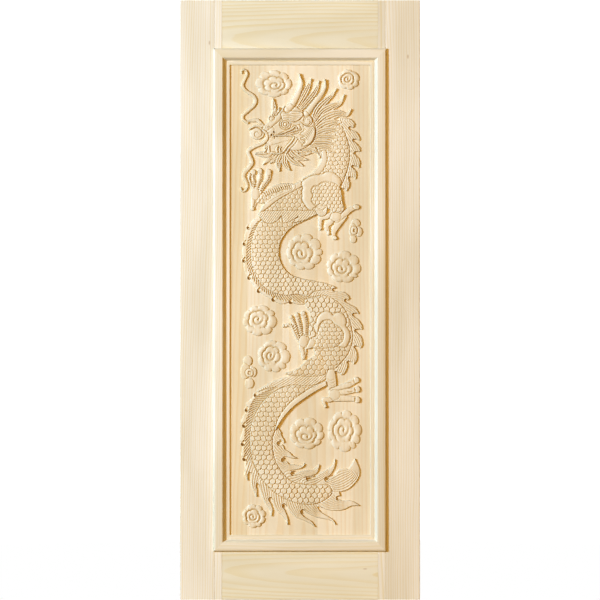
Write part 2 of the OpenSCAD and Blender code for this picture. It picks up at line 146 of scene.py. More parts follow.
def box_mean(height: np.ndarray, cells: int, passes: int) -> np.ndarray:
    """The mean over a square of (2 * cells + 1) cells each way, taken again for each pass."""
    mean = height
    for _ in range(passes):
        for axis in (0, 1):
            pad = [(cells + 1, cells) if a == axis else (0, 0) for a in (0, 1)]
            total = np.cumsum(np.pad(mean, pad, mode="edge"), axis=axis)
            upper = np.take(total, range(2 * cells + 1, total.shape[axis]), axis=axis)
            lower = np.take(total, range(0, total.shape[axis] - 2 * cells - 1), axis=axis)
            mean = (upper - lower) / (2 * cells + 1)
    return mean


@dataclass
class Window:
    """The part of the sheet that a shape can touch."""

    rows: slice
    columns: slice
    x: np.ndarray
    z: np.ndarray

    @property
    def place(self) -> tuple[slice, slice]:
        """Index of the window in the sheet."""
        return self.rows, self.columns


@dataclass
class Trace:
    """Where each cell of a window lies against a line."""

    distance: np.ndarray
    run: np.ndarray
    side: np.ndarray
    length: float


@dataclass
class Relief:
    """The carved face as heights in millimetres over a regular grid."""

    x: np.ndarray
    z: np.ndarray
    height: np.ndarray = field(init=False)
    # Painted shade in the pockets, from 0 to 2, kept beside the heights
    pocket_shade: np.ndarray = field(init=False)

    def __post_init__(self) -> None:
        """Starts from a flat, clean ground."""
        self.height = np.zeros((len(self.z), len(self.x)))
        self.pocket_shade = np.zeros_like(self.height)

    @property
    def step(self) -> float:
        """Width of a cell."""
        return float(self.x[1] - self.x[0])

    def window(self, points: np.ndarray, margin: float) -> Window:
        """The window round some points, with a margin."""
        low = points.min(axis=0) - margin
        high = points.max(axis=0) + margin
        c0, c1 = np.searchsorted(self.x, [low[0], high[0]])
        r0, r1 = np.searchsorted(self.z, [low[1], high[1]])
        return Window(slice(r0, r1), slice(c0, c1), self.x[None, c0:c1], self.z[r0:r1, None])

    def trace(self, w: Window, line: np.ndarray) -> Trace:
        """Finds the nearest place on a line for each cell.

        Args:
            w: The window to fill.
            line: The line's points.

        Returns:
            Distance to the line, run along it, and side: +1 left of the way it runs.
        """
        shape = np.broadcast(w.x, w.z).shape
        best = np.full(shape, 1e9)
        run = np.zeros(shape)
        side = np.ones(shape)
        reach = 0.0
        for (ax, az), (bx, bz) in zip(line[:-1], line[1:]):
            dx, dz = bx - ax, bz - az
            length = math.hypot(dx, dz)
            if length < 1e-6:
                continue
            rx, rz = w.x - ax, w.z - az
            share = np.clip((rx * dx + rz * dz) / length**2, 0, 1)
            gap = (rx - share * dx) ** 2 + (rz - share * dz) ** 2
            nearer = gap < best
            best = np.where(nearer, gap, best)
            run = np.where(nearer, reach + share * length, run)
            side = np.where(nearer, np.sign(dx * rz - dz * rx), side)
            reach += length
        return Trace(np.sqrt(best), run, side, reach)

    def edge_distance(self, w: Window, ring: np.ndarray) -> np.ndarray:
        """Distance from each cell of a window to a closed ring."""
        return self.trace(w, np.vstack([ring, ring[:1]])).distance

    def inside(self, w: Window, ring: np.ndarray) -> np.ndarray:
        """True where a cell lies inside a closed ring, by counting crossings."""
        found = np.zeros(np.broadcast(w.x, w.z).shape, bool)
        for (ax, az), (bx, bz) in zip(ring, np.roll(ring, -1, axis=0)):
            if az == bz:
                continue
            crossing = ((az > w.z) != (bz > w.z)) & (w.x < (bx - ax) * (w.z - az) / (bz - az) + ax)
            found ^= crossing
        return found

    def lay(self, w: Window, mask: np.ndarray, height: np.ndarray, how: Lay) -> None:
        """Lays heights into the sheet where the mask is true."""
        now = self.height[w.place]
        new = np.maximum(height, now) if how is Lay.HIGHEST else height
        self.height[w.place] = np.where(mask, new, now)

    def undercut(self, w: Window, gap: np.ndarray, depth: float, reach: float) -> None:
        """Sinks what lies just outside an edge.

        Args:
            w: The window.
            gap: Distance outside the edge, and 0 or less inside.
            depth: How far it sinks at the edge.
            reach: How wide the sunk strip is.
        """
        now = self.height[w.place]
        sunk = depth * np.exp(-((gap / reach) ** 2)) * (gap > 0)
        self.height[w.place] = np.where(now > 0, np.maximum(now - sunk, LEAST_HEIGHT), now)

    def stroke(
        self,
        points: Line,
        widths: Sequence[float],
        height: float,
        strands: int = 0,
        depth: float = 1.0,
        wall: float = 0.45,
        crown: float = 2.0,
        cut: float = 2.5,
        tip: float = 1.0,
        how: Lay = Lay.OVER,
    ) -> None:
        """Carves a tapered stroke with a rounded back.

        Across the stroke the height is wall + (1 - wall) * sqrt(1 - u^crown), where u runs from
        0 at the middle to 1 at the edge. Strands are V cuts that run along it and close in
        towards a narrow end.

        Args:
            points: The stroke's middle line.
            widths: Widths at even shares of its length.
            height: Height of its back above the ground.
            strands: How many strands the V cuts part it into.
            depth: Depth of the V cuts.
            wall: Height at the edge, as a share of the back's.
            crown: 2 is round, and more is flatter.
            cut: How far the neighbours are sunk along its edge.
            tip: Height at the far end, as a share of the start's.
            how: How it meets what is carved already.
        """
        line = smooth_line(points)
        w = self.window(line, max(widths) / 2 + 6)
        t = self.trace(w, line)
        share = t.run / t.length
        half = smooth_widths(widths, share)
        u = t.distance / half
        if cut:
            self.undercut(w, t.distance - half, cut, CUT_REACH)
        back = height * (1 + (tip - 1) * share)
        h = back * (wall + (1 - wall) * np.sqrt(np.clip(1 - u**crown, 0, 1)))
        if strands > 1:
            across = strands * 0.5 * (1 + t.side * u)
            notch = np.abs(np.cos(math.pi * across)) ** 3
            real = (np.round(across) > 0.5) & (np.round(across) < strands - 0.5)
            h = h - depth * notch * real * np.clip(half / strands - 1, 0, 1)
        self.lay(w, u < 1, h, how)

    def plate(
        self,
        ring: np.ndarray,
        height: float,
        edge: float = 8.0,
        wall: float = 0.5,
        cut: float = 2.5,
    ) -> None:
        """Carves a plate with a rounded edge inside a ring.

        From the edge inwards the height rises as a quarter round from wall * height to height
        over the width of the edge. The neighbours are sunk by the cut along its outline.
        """
        w = self.window(ring, 8)
        distance = self.edge_distance(w, ring)
        mask = self.inside(w, ring)
        if cut:
            self.undercut(w, np.where(mask, 0, distance), cut, CUT_REACH)
        k = np.clip(distance / edge, 0, 1)
        h = height * (wall + (1 - wall) * np.sqrt(1 - (1 - k) ** 2))
        self.lay(w, mask, h, Lay.OVER)

    def groove(self, points: Line, width: float = 2.4, depth: float = 1.4, steps: int = 8) -> None:
        """Cuts a line that fades in and out at its ends, with a rounded floor."""
        line = smooth_line(points, steps)
        w = self.window(line, 1.6 * width)
        t = self.trace(w, line)
        fade = np.sin(math.pi * np.clip(t.run / t.length, 0.04, 0.96)) ** 0.4
        cut = depth * fade * np.exp(-((t.distance / (0.5 * width)) ** 2))
        self.height[w.place] = np.maximum(self.height[w.place] - cut, 0)

    def hollow(self, points: Line, widths: Sequence[float], floor: float = 0.7, dark: float = 1.5) -> None:
        """Cuts a stroke-shaped pocket down to a floor, with a soft wall.

        Towards its far end the floor falls to the ground, and the painted shade in it fades out.
        """
        line = smooth_line(points)
        w = self.window(line, max(widths))
        t = self.trace(w, line)
        half = smooth_widths(widths, t.run / t.length)
        k = np.clip((half - t.distance) / POCKET_WALL, 0, 1)
        start = np.clip(1.3 - 3 * t.run / t.length, 0, 1)
        now = self.height[w.place]
        self.height[w.place] = np.minimum(now, now + (floor * start - now) * k)
        # Painted shade: the pocket's colour is darkened, most at its start, where the wall's shadow falls
        painted_dark = dark * start * np.clip((half + 1 - t.distance) / POCKET_WALL, 0, 1)
        self.pocket_shade[w.place] = np.maximum(self.pocket_shade[w.place], painted_dark)

    def ball(self, middle: Point, half: Point, height: float, base: float = 0.4, cut: float = 1.5) -> None:
        """Raises an oval boss: height * (base + (1 - base) * sqrt(1 - u^2)), u from middle to rim."""
        mid = np.asarray([middle], float)
        w = self.window(mid, max(half) + 6)
        u = np.hypot((w.x - middle[0]) / half[0], (w.z - middle[1]) / half[1])
        if cut:
            self.undercut(w, (u - 1) * min(half), cut, 2.2)
        h = height * (base + (1 - base) * np.sqrt(np.clip(1 - u**2, 0, 1)))
        self.lay(w, u < 1, h, Lay.OVER)

    def press(self, w: Window, mask: np.ndarray, change: np.ndarray) -> None:
        """Adds a change of height where the mask is true."""
        now = self.height[w.place]
        self.height[w.place] = np.where(mask, np.maximum(now + change, 0), now)

    def crispen(self, share: float, cells: int) -> None:
        """Deepens every cut and stands every edge up, by a share of its height over the mean.

        The mean is taken over (2 * cells + 1) cells each way, twice.
        """
        sharp = self.height + share * (self.height - box_mean(self.height, cells, 2))
        self.height = np.where(self.height > 0, np.maximum(sharp, 0), 0)

    def soften(self) -> None:
        """Rounds every arris a little, as sanding does, by a 1-2-1 blur both ways."""
        p = np.pad(self.height, 1, mode="edge")
        across = 0.25 * p[:, :-2] + 0.5 * p[:, 1:-1] + 0.25 * p[:, 2:]
        self.height = 0.25 * across[:-2] + 0.5 * across[1:-1] + 0.25 * across[2:]


@dataclass(frozen=True)
class Scales:
    """Overlapping round scales, all of one size, on a honeycomb of middles."""

    width: float
    depth: float = 1.8
    cut: float = 1.2
    wander: float = 0.06

    def middles(self, area: np.ndarray) -> np.ndarray:
        """Middles of the scales that can touch an area, each a little out of its place."""
        low, high = area.min(axis=0) - self.width, area.max(axis=0) + self.width
        rows = np.arange(low[1], high[1], 0.866 * self.width)
        columns = np.arange(low[0], high[0], self.width)
        x, z = np.meshgrid(columns, rows)
        x = x + 0.5 * self.width * (np.arange(len(rows)) % 2)[:, None]
        middles = np.column_stack([x.ravel(), z.ravel()])
        swing = np.arange(len(middles))[:, None] * np.array([2.4, 3.7])
        return middles + self.wander * self.width * np.sin(swing)


def scale_body(relief: Relief, area: np.ndarray, guide: Line, scales: Scales) -> None:
    """Cuts scales into the part of a body inside a ring.

    Each scale is a disc, and the disc nearest the start of the guide line lies on top. A scale
    rises a little to its free edge. A round groove follows that edge, and its depth falls off
    as exp(-(distance / cut)^2) to both sides.
    """
    w = relief.window(area, 2)
    mask = relief.inside(w, area)
    edge = relief.edge_distance(w, area)
    line = smooth_line(guide, 12)
    ways = np.diff(line, axis=0)
    spans = np.hypot(ways[:, 0], ways[:, 1])
    starts = np.concatenate([[0.0], np.cumsum(spans)[:-1]])
    found = []
    for x, z in scales.middles(area):
        share = np.clip(((np.array([x, z]) - line[:-1]) * ways).sum(axis=1) / spans**2, 0, 1)
        away = np.hypot(*(np.array([x, z]) - line[:-1] - share[:, None] * ways).T)
        k = int(away.argmin())
        found.append((starts[k] + share[k] * spans[k], x, z, *(ways[k] / spans[k])))
    radius = 0.60 * scales.width
    rise = np.zeros(mask.shape)
    nowhere_near = 9.0
    gap = np.full(mask.shape, nowhere_near)
    for _, x, z, way_x, way_z in sorted(found, reverse=True):
        columns = slice(*np.searchsorted(w.x[0], [x - radius - 5, x + radius + 5]))
        rows = slice(*np.searchsorted(w.z[:, 0], [z - radius - 5, z + radius + 5]))
        off_x, off_z = w.x[:, columns] - x, w.z[rows] - z
        along = off_x * way_x + off_z * way_z
        inside = radius - np.hypot(off_x, off_z)
        near, lift = gap[rows, columns], rise[rows, columns]
        free = np.where(along > -0.25 * radius, np.abs(inside), nowhere_near)
        gap[rows, columns] = np.where(inside > 0, free, np.minimum(near, free))
        rise[rows, columns] = np.where(inside > 0, 0.4 * (along / radius - 0.3), lift)
    fade = np.clip(edge / 2 - 0.3, 0, 1)
    relief.press(w, mask, scales.depth * (rise - np.exp(-((gap / scales.cut) ** 2))) * fade)


def hatch(relief: Relief, area: np.ndarray, guide: Line, pitch: float, lean: float, depth: float) -> None:
    """Cuts fine parallel strokes into an area.

    Each stroke is a V cut where (run + lean * across) / sqrt(1 + lean^2) is a whole number of
    pitches, so the strokes lean away from the guide line by the same angle all the way.
    """
    w = relief.window(area, 2)
    mask = relief.inside(w, area)
    t = relief.trace(w, smooth_line(guide, 12))
    phase = (t.run + lean * t.distance * t.side) / (pitch * math.hypot(1, lean))
    notch = np.abs(np.cos(math.pi * phase)) ** 3
    relief.press(w, mask, -depth * notch)


# ---------------------------------------------------------------------------
# Clouds
# ---------------------------------------------------------------------------


@dataclass(frozen=True)
class Cloud:
    """A scrolled cloud: an outer ring of puffs, an inner ring of puffs, and a scroll.

    The puffs meet at pinches, given as angles in degrees from +X towards +Z.
    """

    middle: Point
    half: Point
    pinches: Sequence[float]
    inner: Sequence[float]
    eye: Point
    start: float = 0.15
    top: float = 8.0


CLOUDS = (
    Cloud(
        (-88, 1722), (61, 46), (27, 66, 108, 150, 200, 246, 297, 331),
        (20, 75, 130, 190, 245, 305), (4, -4),
    ),
    Cloud(
        (163, 1735), (37, 34), (68, 132, 190, 258, 304, 346),
        (10, 130, 250), (-4, 2),
    ),
    Cloud(
        (16, 1161), (61, 62), (12, 57, 100, 133, 164, 205, 236, 272, 311, 348),
        (40, 93, 150, 200, 262, 330), (-10, -5),
    ),
    Cloud(
        (147, 1111), (58, 54), (15, 59, 112, 151, 182, 218, 266, 313, 331),
        (30, 80, 140, 200, 255, 320), (-8, -6),
    ),
    Cloud(
        (-133, 931), (57, 52), (20, 50, 97, 131, 169, 205, 240, 281, 326),
        (45, 100, 170, 235, 290, 350), (-7, 3),
    ),
    Cloud(
        (-86, 812), (55, 54), (28, 77, 134, 183, 229, 264, 300, 327),
        (20, 75, 140, 200, 250, 310), (-11, 2),
    ),
    Cloud(
        (23, 556), (58, 54), (10, 51, 100, 140, 180, 220, 260, 304, 334),
        (30, 85, 140, 200, 270, 335), (-2, -9),
    ),
    Cloud(
        (150, 562), (57, 70), (23, 61, 100, 140, 180, 210, 249, 296, 317, 345),
        (20, 80, 140, 210, 280, 330), (-6, 3),
    ),
    Cloud(
        (-153, 279), (40, 40), (-3, 37, 77, 137, 187, 236, 286, 315),
        (30, 110, 190, 280), (-4, -2),
    ),
)


def puffs(angle: np.ndarray, pinches: Sequence[float]) -> np.ndarray:
    """Swelling of a rim of puffs: 0 at each pinch, and 1 midway between two pinches."""
    marks = np.sort(np.mod(pinches, 360))
    marks = np.concatenate([[marks[-1] - 360], marks, [marks[0] + 360]])
    phase = np.interp(np.mod(np.degrees(angle), 360), marks, np.arange(len(marks)))
    return np.abs(np.sin(math.pi * phase)) ** 0.5


def carve_cloud(relief: Relief, cloud: Cloud) -> None:
    """Carves one cloud: a thick outer cord, a flower of puffs inside it, and a scroll.

    With q the distance from the middle as a share of the outline, the flower ends at the groove
    q = 0.53 + 0.08 * puff. The scroll is the spiral groove q = 0.07 + 0.25 * turns, which runs
    out a little way into the flower. A groove is a narrow cut on a broad valley. The outer
    cord and the flower are lower where two puffs meet, and the cord is rounded at its rim.
    """
    w = relief.window(np.array([cloud.middle]), max(cloud.half) + 4)
    u = (w.x - cloud.middle[0]) / cloud.half[0]
    v = (w.z - cloud.middle[1]) / cloud.half[1]
    lean = np.clip(1.05 - np.hypot(u, v), 0, 1)
    u = u - 1.6 * lean * cloud.eye[0] / cloud.half[0]
    v = v - 1.6 * lean * cloud.eye[1] / cloud.half[1]
    q, angle = np.hypot(u, v), np.arctan2(v, u)
    outer_puff, inner_puff = puffs(angle, cloud.pinches), puffs(angle, cloud.inner)
    rim = 0.87 + 0.13 * outer_puff
    flower = 0.53 + 0.08 * inner_puff
    turns = np.mod(angle / math.tau + cloud.start, 1)
    joined = np.clip(6 * np.abs(turns - 0.9) - 0.1, 0, 1)
    coils = (
        (0.07 + 0.25 * turns, 1.0),
        (0.32 + 0.25 * turns, np.clip(1 - 3 * turns, 0, 1)),
        (flower, joined),
    )
    cord = np.ones(q.shape)
    for coil, depth in coils:
        away = np.abs(q - coil)
        cut = 0.55 * np.exp(-((away / 0.05) ** 2)) + 0.45 * np.exp(-((away / 0.12) ** 2))
        cord = np.minimum(cord, 1 - depth * cut)
    outer_pinch = (1 - outer_puff) * np.clip((q - 0.72) / 0.2, 0, 1)
    inner_pinch = (1 - inner_puff) * np.clip((q - 0.38) / 0.15, 0, 1) * (q < flower)
    h = cloud.top * (0.30 + 0.16 * (1 - q) + 0.50 * cord - 0.26 * outer_pinch - 0.22 * inner_pinch)
    h *= np.sqrt(np.clip(1.03 - np.clip((q - 0.74 * rim) / (0.26 * rim), 0, 1) ** 2.2, 0, 1))
    relief.lay(w, q < rim, h, Lay.HIGHEST)


# Two small upright clouds: their puffs, and the middle, ring, eye and eye's height of the scroll
SMALL_CLOUDS = (
    (
        (((186, 1256), (15, 15)), ((196, 1228), (13, 17)), ((178, 1232), (14, 24)), ((178, 1203), (11, 13))),
        ((181, 1232), (11, 14), (4, 5), 4.0),
    ),
    (
        (((-174, 797), (15, 17)), ((-160, 760), (16, 18)), ((-182, 762), (16, 26)), ((-168, 722), (15, 17))),
        ((-168, 757), (14, 14), (6, 6), 4.5),
    ),
)


def carve_small_clouds(relief: Relief) -> None:
    """Two small upright clouds of four puffs, each with a ring round an eye."""
    for balls, (middle, ring, eye, eye_height) in SMALL_CLOUDS:
        for puff, half in balls:
            relief.ball(puff, half, 6.0, base=0.3, cut=1.0)
        relief.ball(middle, ring, 7.5, base=0.6, cut=1.5)
        relief.ball(middle, eye, eye_height, base=0.8, cut=0)


# ---------------------------------------------------------------------------
# Fins and flames
# ---------------------------------------------------------------------------

NECK_FIN = (
    (130, 1603), (155, 1607), (173, 1601), (183, 1587), (179, 1575), (170, 1576), (169, 1569),
    (188, 1561), (199, 1545), (200, 1531), (190, 1535), (183, 1534), (183, 1528), (193, 1519),
    (201, 1508), (201, 1496), (192, 1495), (186, 1492), (186, 1485), (198, 1470), (201, 1454),
    (197, 1440), (190, 1446), (181, 1446), (179, 1441), (186, 1432), (189, 1419), (186, 1403),
    (179, 1409), (168, 1409), (165, 1402), (168, 1390), (165, 1377), (157, 1363), (148, 1371),
    (138, 1366), (140, 1390), (150, 1412), (160, 1450), (163, 1500), (158, 1530), (144, 1562),
)
NECK_NOTCHES = ((169, 1573), (182, 1532), (186, 1489), (179, 1444), (167, 1406), (140, 1369))
BEND_ONE_FIN = (
    (-130, 1282), (-158, 1264), (-172, 1245), (-183, 1222), (-186, 1192), (-192, 1165),
    (-189, 1134), (-186, 1104), (-174, 1078), (-160, 1056), (-141, 1032), (-120, 1016),
    (-92, 1000), (-62, 986), (-34, 992), (0, 984), (28, 992), (34, 1006), (10, 1030), (-60, 1040),
    (-130, 1080), (-150, 1160), (-132, 1240), (-112, 1268),
)
BEND_ONE_NOTCHES = (
    (-171, 1243), (-184, 1189), (-186, 1133), (-169, 1076), (-137, 1032), (-88, 1003), (-31, 995),
)
BEND_TWO_FIN = (
    (24, 1010), (38, 1026), (54, 1040), (84, 1053), (112, 1048), (119, 1040), (115, 1030),
    (124, 1028), (146, 1027), (161, 1017), (166, 1005), (160, 998), (154, 999), (155, 993),
    (171, 984), (188, 973), (197, 954), (188, 956), (181, 951), (182, 944), (196, 935),
    (206, 919), (209, 902), (198, 902), (189, 899), (190, 892), (202, 882), (209, 865),
    (209, 848), (202, 839), (196, 843), (187, 844), (186, 836), (192, 824), (192, 808),
    (187, 793), (179, 785), (173, 792), (164, 793), (160, 787), (159, 774), (153, 760),
    (141, 749), (132, 755), (124, 758), (118, 746), (103, 738), (80, 732), (60, 717), (36, 708),
    (14, 702), (-20, 712), (-60, 706), (-104, 704), (-148, 690), (-120, 712), (-60, 740),
    (60, 765), (140, 810), (160, 880), (140, 950), (100, 1000),
)
BEND_TWO_NOTCHES = ((115, 1033), (155, 998), (181, 950), (189, 897), (187, 842), (164, 791), (123, 757))
BEND_THREE_FIN = (
    (-60, 734), (-104, 716), (-148, 690), (-152, 680), (-170, 662), (-180, 655), (-176, 634),
    (-191, 610), (-195, 591), (-185, 582), (-195, 552), (-198, 532), (-188, 521), (-193, 500),
    (-195, 480), (-182, 471), (-184, 450), (-180, 430), (-160, 420), (-140, 430), (-150, 540),
    (-140, 620), (-100, 680), (-40, 706),
)
BEND_THREE_NOTCHES = ((-147, 684), (-177, 634), (-186, 582), (-190, 521), (-185, 471))
TRUNK_FIN = (
    (-137, 1286), (-118, 1297), (-93, 1297), (-25, 1299), (26, 1298), (52, 1306), (74, 1322),
    (92, 1313), (88, 1300), (80, 1287), (66, 1279), (58, 1285), (40, 1278), (20, 1268), (-6, 1261),
    (-22, 1258), (-12, 1268), (-5, 1279), (-24, 1267), (-40, 1260), (-54, 1257), (-57, 1268), (-61, 1281),
    (-74, 1267), (-92, 1257), (-108, 1257), (-122, 1266),
)
TRUNK_FIN_GUIDE = ((-140, 1280), (-60, 1288), (40, 1290), (100, 1310))
NECK_FIN_GUIDE = ((166, 1600), (176, 1560), (182, 1500), (176, 1440), (150, 1370))
BEND_TWO_FIN_GUIDE = (
    (20, 1000), (60, 1030), (110, 1030), (160, 980), (186, 900), (178, 820), (140, 770), (90, 744),
    (0, 722), (-90, 716),
)
# The deep-cut strips between the body and the fins of the first and third bend, with their guides
VALLEYS = (
    (
        (
            (-118, 1274), (-140, 1262), (-160, 1236), (-172, 1204), (-178, 1160), (-176, 1120), (-168, 1090),
            (-152, 1062), (-122, 1030), (-90, 1010), (-50, 996), (-20, 996), (10, 990), (26, 998), (10, 1024),
            (-50, 1020), (-92, 1030), (-126, 1054), (-148, 1086), (-158, 1122), (-161, 1166), (-156, 1206),
            (-142, 1244),
        ),
        (
            (-110, 1276), (-150, 1246), (-166, 1190), (-168, 1120), (-146, 1070), (-100, 1024), (-40, 1004),
            (20, 1006),
        ),
    ),
    (
        (
            (-70, 714), (-110, 698), (-146, 676), (-164, 650), (-172, 620), (-182, 590), (-184, 550),
            (-186, 500), (-180, 460), (-164, 426), (-148, 444), (-160, 500), (-164, 548), (-160, 596),
            (-140, 642), (-104, 682),
        ),
        ((-60, 716), (-120, 690), (-160, 640), (-176, 560), (-172, 480), (-150, 420)),
    ),
)

# The tail fin between the body and the pockets, and its flames: middle line, widths, strands
TAIL_WEBS = (
    (
        (-92, 570), (-78, 560), (-68, 540), (-66, 522), (-64, 504), (-60, 472), (-50, 456), (-30, 430),
        (-18, 413), (22, 402), (36, 396), (84, 400), (100, 394), (116, 378), (100, 356), (0, 366),
        (-64, 408), (-106, 476), (-106, 536),
    ),
    (
        (-172, 456), (-168, 430), (-160, 414), (-146, 394), (-136, 384), (-126, 362), (-104, 342),
        (-96, 338), (-82, 322), (-57, 316), (-46, 312), (-20, 302), (4, 298), (18, 296), (40, 302),
        (64, 310), (78, 306), (100, 318), (124, 344), (134, 348), (120, 374), (60, 380), (0, 356),
        (-60, 378), (-120, 444), (-146, 470),
    ),
)
FLAMES = (
    (((-84, 592), (-79, 568), (-73, 548), (-58, 534), (-53, 522)), (6, 16, 28, 12, 4), 4),
    (((-86, 520), (-63, 494), (-42, 486), (-27, 477), (-13, 473)), (30, 40, 26, 14, 3), 5),
    (((-76, 466), (-40, 443), (-20, 442), (-2, 442), (10, 446), (15, 453)), (44, 38, 22, 18, 11, 3), 5),
    (((-34, 406), (-6, 412), (16, 420), (38, 423), (54, 431), (64, 449)), (50, 38, 22, 20, 15, 3), 5),
    (((20, 388), (54, 399), (80, 414), (100, 430), (112, 446), (117, 467)), (40, 36, 27, 22, 12, 3), 5),
    (((60, 374), (100, 384), (140, 398), (178, 424), (184, 469)), (26, 52, 72, 44, 3), 9),
    (((70, 346), (104, 324), (136, 315), (168, 321), (197, 315)), (56, 56, 36, 22, 3), 7),
    (((16, 330), (40, 303), (62, 285), (90, 274), (108, 265), (118, 252)), (44, 46, 30, 17, 9, 3), 6),
    (((-24, 336), (-14, 308), (-1, 284), (20, 268), (38, 257), (49, 245)), (48, 50, 36, 17, 10, 3), 7),
    (((-74, 352), (-70, 323), (-62, 299), (-50, 281), (-43, 266), (-41, 252)), (40, 40, 32, 18, 10, 3), 5),
    (
        ((-122, 392), (-116, 361), (-111, 338), (-103, 316), (-95, 299), (-95, 281)),
        (34, 32, 26, 18, 11, 3), 4,
    ),
    (((-146, 430), (-152, 402), (-153, 381), (-148, 362), (-145, 346)), (24, 23, 19, 12, 3), 3),
    (((-166, 458), (-173, 436), (-179, 418), (-175, 400)), (16, 16, 11, 3), 2),
)
# Pockets at the roots of the flames, each with its way out: middle line and widths
POCKETS = (
    (((-70, 521), (-62, 521), (-54, 520)), (14, 9, 8)),
    (((-55, 466), (-44, 464), (-30, 463)), (15, 8, 9)),
    (((-23, 421), (-10, 426), (3, 431)), (15, 8, 7)),
    (((28, 404), (44, 407), (58, 418), (71, 434)), (15, 7, 8, 13)),
    (((89, 402), (104, 410), (115, 421), (123, 437)), (15, 7, 9, 13)),
    (((128, 339), (141, 341), (156, 346)), (15, 8, 13)),
    (((72, 301), (84, 292), (97, 286), (112, 282)), (15, 7, 8, 13)),
    (((10, 293), (16, 281), (27, 272), (42, 267)), (17, 9, 7, 11)),
    (((-53, 313), (-46, 300), (-38, 288), (-31, 274)), (15, 8, 10, 15)),
    (((-98, 335), (-92, 318), (-86, 302)), (14, 8, 8)),
    (((-141, 380), (-137, 362), (-133, 346)), (13, 8, 9)),
    (((-166, 419), (-167, 403), (-166, 390)), (12, 7, 8)),
)


def carve_valley(relief: Relief, ring: Line, guide: Line) -> None:
    """A strip beside the body that lies lower than the fin, with deep slanting cuts."""
    strip = smooth_ring(ring)
    w = relief.window(strip, 2)
    mask = relief.inside(w, strip)
    edge = relief.edge_distance(w, strip)
    relief.press(w, mask, -1.4 * np.clip(edge / 6, 0, 1))
    hatch(relief, strip, guide, 6.4, 1.1, 2.8)


def carve_fins(relief: Relief) -> None:
    """The fins: ragged plates, hatched beside the body, with a pocket behind each lobe."""
    for ring, height, edge in (
        (BEND_ONE_FIN, 6.4, 18),
        (BEND_THREE_FIN, 6.0, 18),
        (BEND_TWO_FIN, 7.2, 7),
        (NECK_FIN, 7.2, 7),
    ):
        relief.plate(smooth_ring(ring), height, edge=edge, wall=0.3, cut=0)
    hatch(relief, smooth_ring(NECK_FIN), NECK_FIN_GUIDE, 6.6, -2.1, 1.2)
    hatch(relief, smooth_ring(BEND_TWO_FIN), BEND_TWO_FIN_GUIDE, 6.6, -1.9, 1.2)
    for ring, guide in VALLEYS:
        carve_valley(relief, ring, guide)
    for x, z in (*NECK_NOTCHES, *BEND_TWO_NOTCHES):
        relief.hollow(((x - 2, z + 1), (x + 3, z - 1), (x + 9, z - 2)), (10, 6, 6))
    for x, z in (*BEND_ONE_NOTCHES, *BEND_THREE_NOTCHES):
        carve_rimmed_hole(relief, x, z)


def carve_rimmed_hole(relief: Relief, x: float, z: float) -> None:
    """A hole in a fin's thin edge, darkened by painted shade, in a low rim that fades out 10 mm from its
    middle.
    """
    w = relief.window(np.asarray([(x, z)], float), 11)
    rim = np.clip((10 - np.hypot(w.x - x, w.z - z)) / 3, 0, 1)
    relief.height[w.place] = np.maximum(relief.height[w.place], 1.6 * rim)
    way_out = ((x - 1, z - 2), (x + 1, z + 2), (x + 3, z + 8))
    relief.hollow(way_out, (12, 10, 6), floor=0.8, dark=2.0)


def carve_flames(relief: Relief) -> None:
    """The tail's fin and flames, with strands that run out of the body into each tip."""
    for ring in TAIL_WEBS:
        relief.plate(smooth_ring(ring), 6.4, edge=4, wall=0.6, cut=0)
    for line, widths, strands in FLAMES:
        relief.stroke(line, widths, 7.4, strands, depth=1.5, wall=0.55, crown=3.0, cut=0.6, tip=0.85)
    for line, widths in POCKETS:
        relief.hollow(line, widths)


# ---------------------------------------------------------------------------
# The body
# ---------------------------------------------------------------------------

NECK = (
    (55, 1505), (66, 1492), (70, 1478), (68, 1462), (60, 1441), (39, 1419), (20, 1404), (40, 1390),
    (120, 1380), (139, 1388), (149, 1411), (161, 1448), (165, 1480), (163, 1515), (150, 1556),
    (138, 1580), (110, 1580), (80, 1540),
)
TRUNK = (
    (6, 1397), (-29, 1381), (-69, 1362), (-102, 1335), (-136, 1288), (-118, 1276), (-60, 1284),
    (30, 1290), (60, 1300), (30, 1330), (12, 1350),
)
BEND_ONE = (
    (-112, 1270), (-128, 1266), (-144, 1242), (-158, 1206), (-163, 1166), (-160, 1122),
    (-148, 1084), (-124, 1050), (-92, 1027), (-48, 1016), (-10, 1020), (26, 1012), (50, 1030),
    (118, 1040), (90, 1054), (60, 1061), (0, 1073), (-36, 1088), (-58, 1114), (-69, 1142), (-70, 1172),
    (-62, 1200), (-42, 1229), (-20, 1247), (2, 1258), (40, 1276), (0, 1280), (-60, 1282),
)
BEND_TWO = (
    (18, 1000), (50, 1010), (80, 1014), (110, 1004), (142, 978), (162, 942), (172, 905), (175, 868),
    (164, 830), (149, 806), (127, 781), (103, 760), (72, 749), (36, 746), (-1, 747), (-32, 749),
    (-50, 755), (-26, 763), (-1, 775), (20, 796), (50, 820), (30, 870), (28, 900), (36, 950), (20, 980),
)
BEND_THREE = (
    (112, 734), (86, 730), (50, 716), (14, 712), (-20, 716), (-60, 706), (-98, 684), (-132, 648),
    (-156, 600), (-166, 548), (-163, 497), (-150, 448), (-126, 404), (-92, 366), (-50, 338),
    (0, 321), (50, 320), (88, 337), (106, 356), (103, 372), (92, 382), (50, 382), (0, 386),
    (-36, 400), (-64, 430), (-84, 466), (-92, 505), (-91, 545), (-78, 578), (-62, 604),
    (-38, 630), (0, 660), (54, 696), (96, 722),
)
TRUNK_GUIDE = ((60, 1346), (0, 1330), (-60, 1306), (-130, 1268))
NECK_GUIDE = ((126, 1590), (120, 1530), (116, 1470), (98, 1410), (80, 1370))
BEND_ONE_GUIDE = (
    (20, 1288), (-30, 1276), (-76, 1246), (-104, 1208), (-116, 1166), (-113, 1122), (-92, 1082),
    (-54, 1052), (0, 1043), (60, 1037), (120, 1040),
)
BEND_TWO_GUIDE = (
    (10, 980), (50, 992), (90, 986), (124, 962), (146, 926), (154, 886), (146, 846), (118, 808),
    (80, 786), (30, 770), (-50, 756),
)
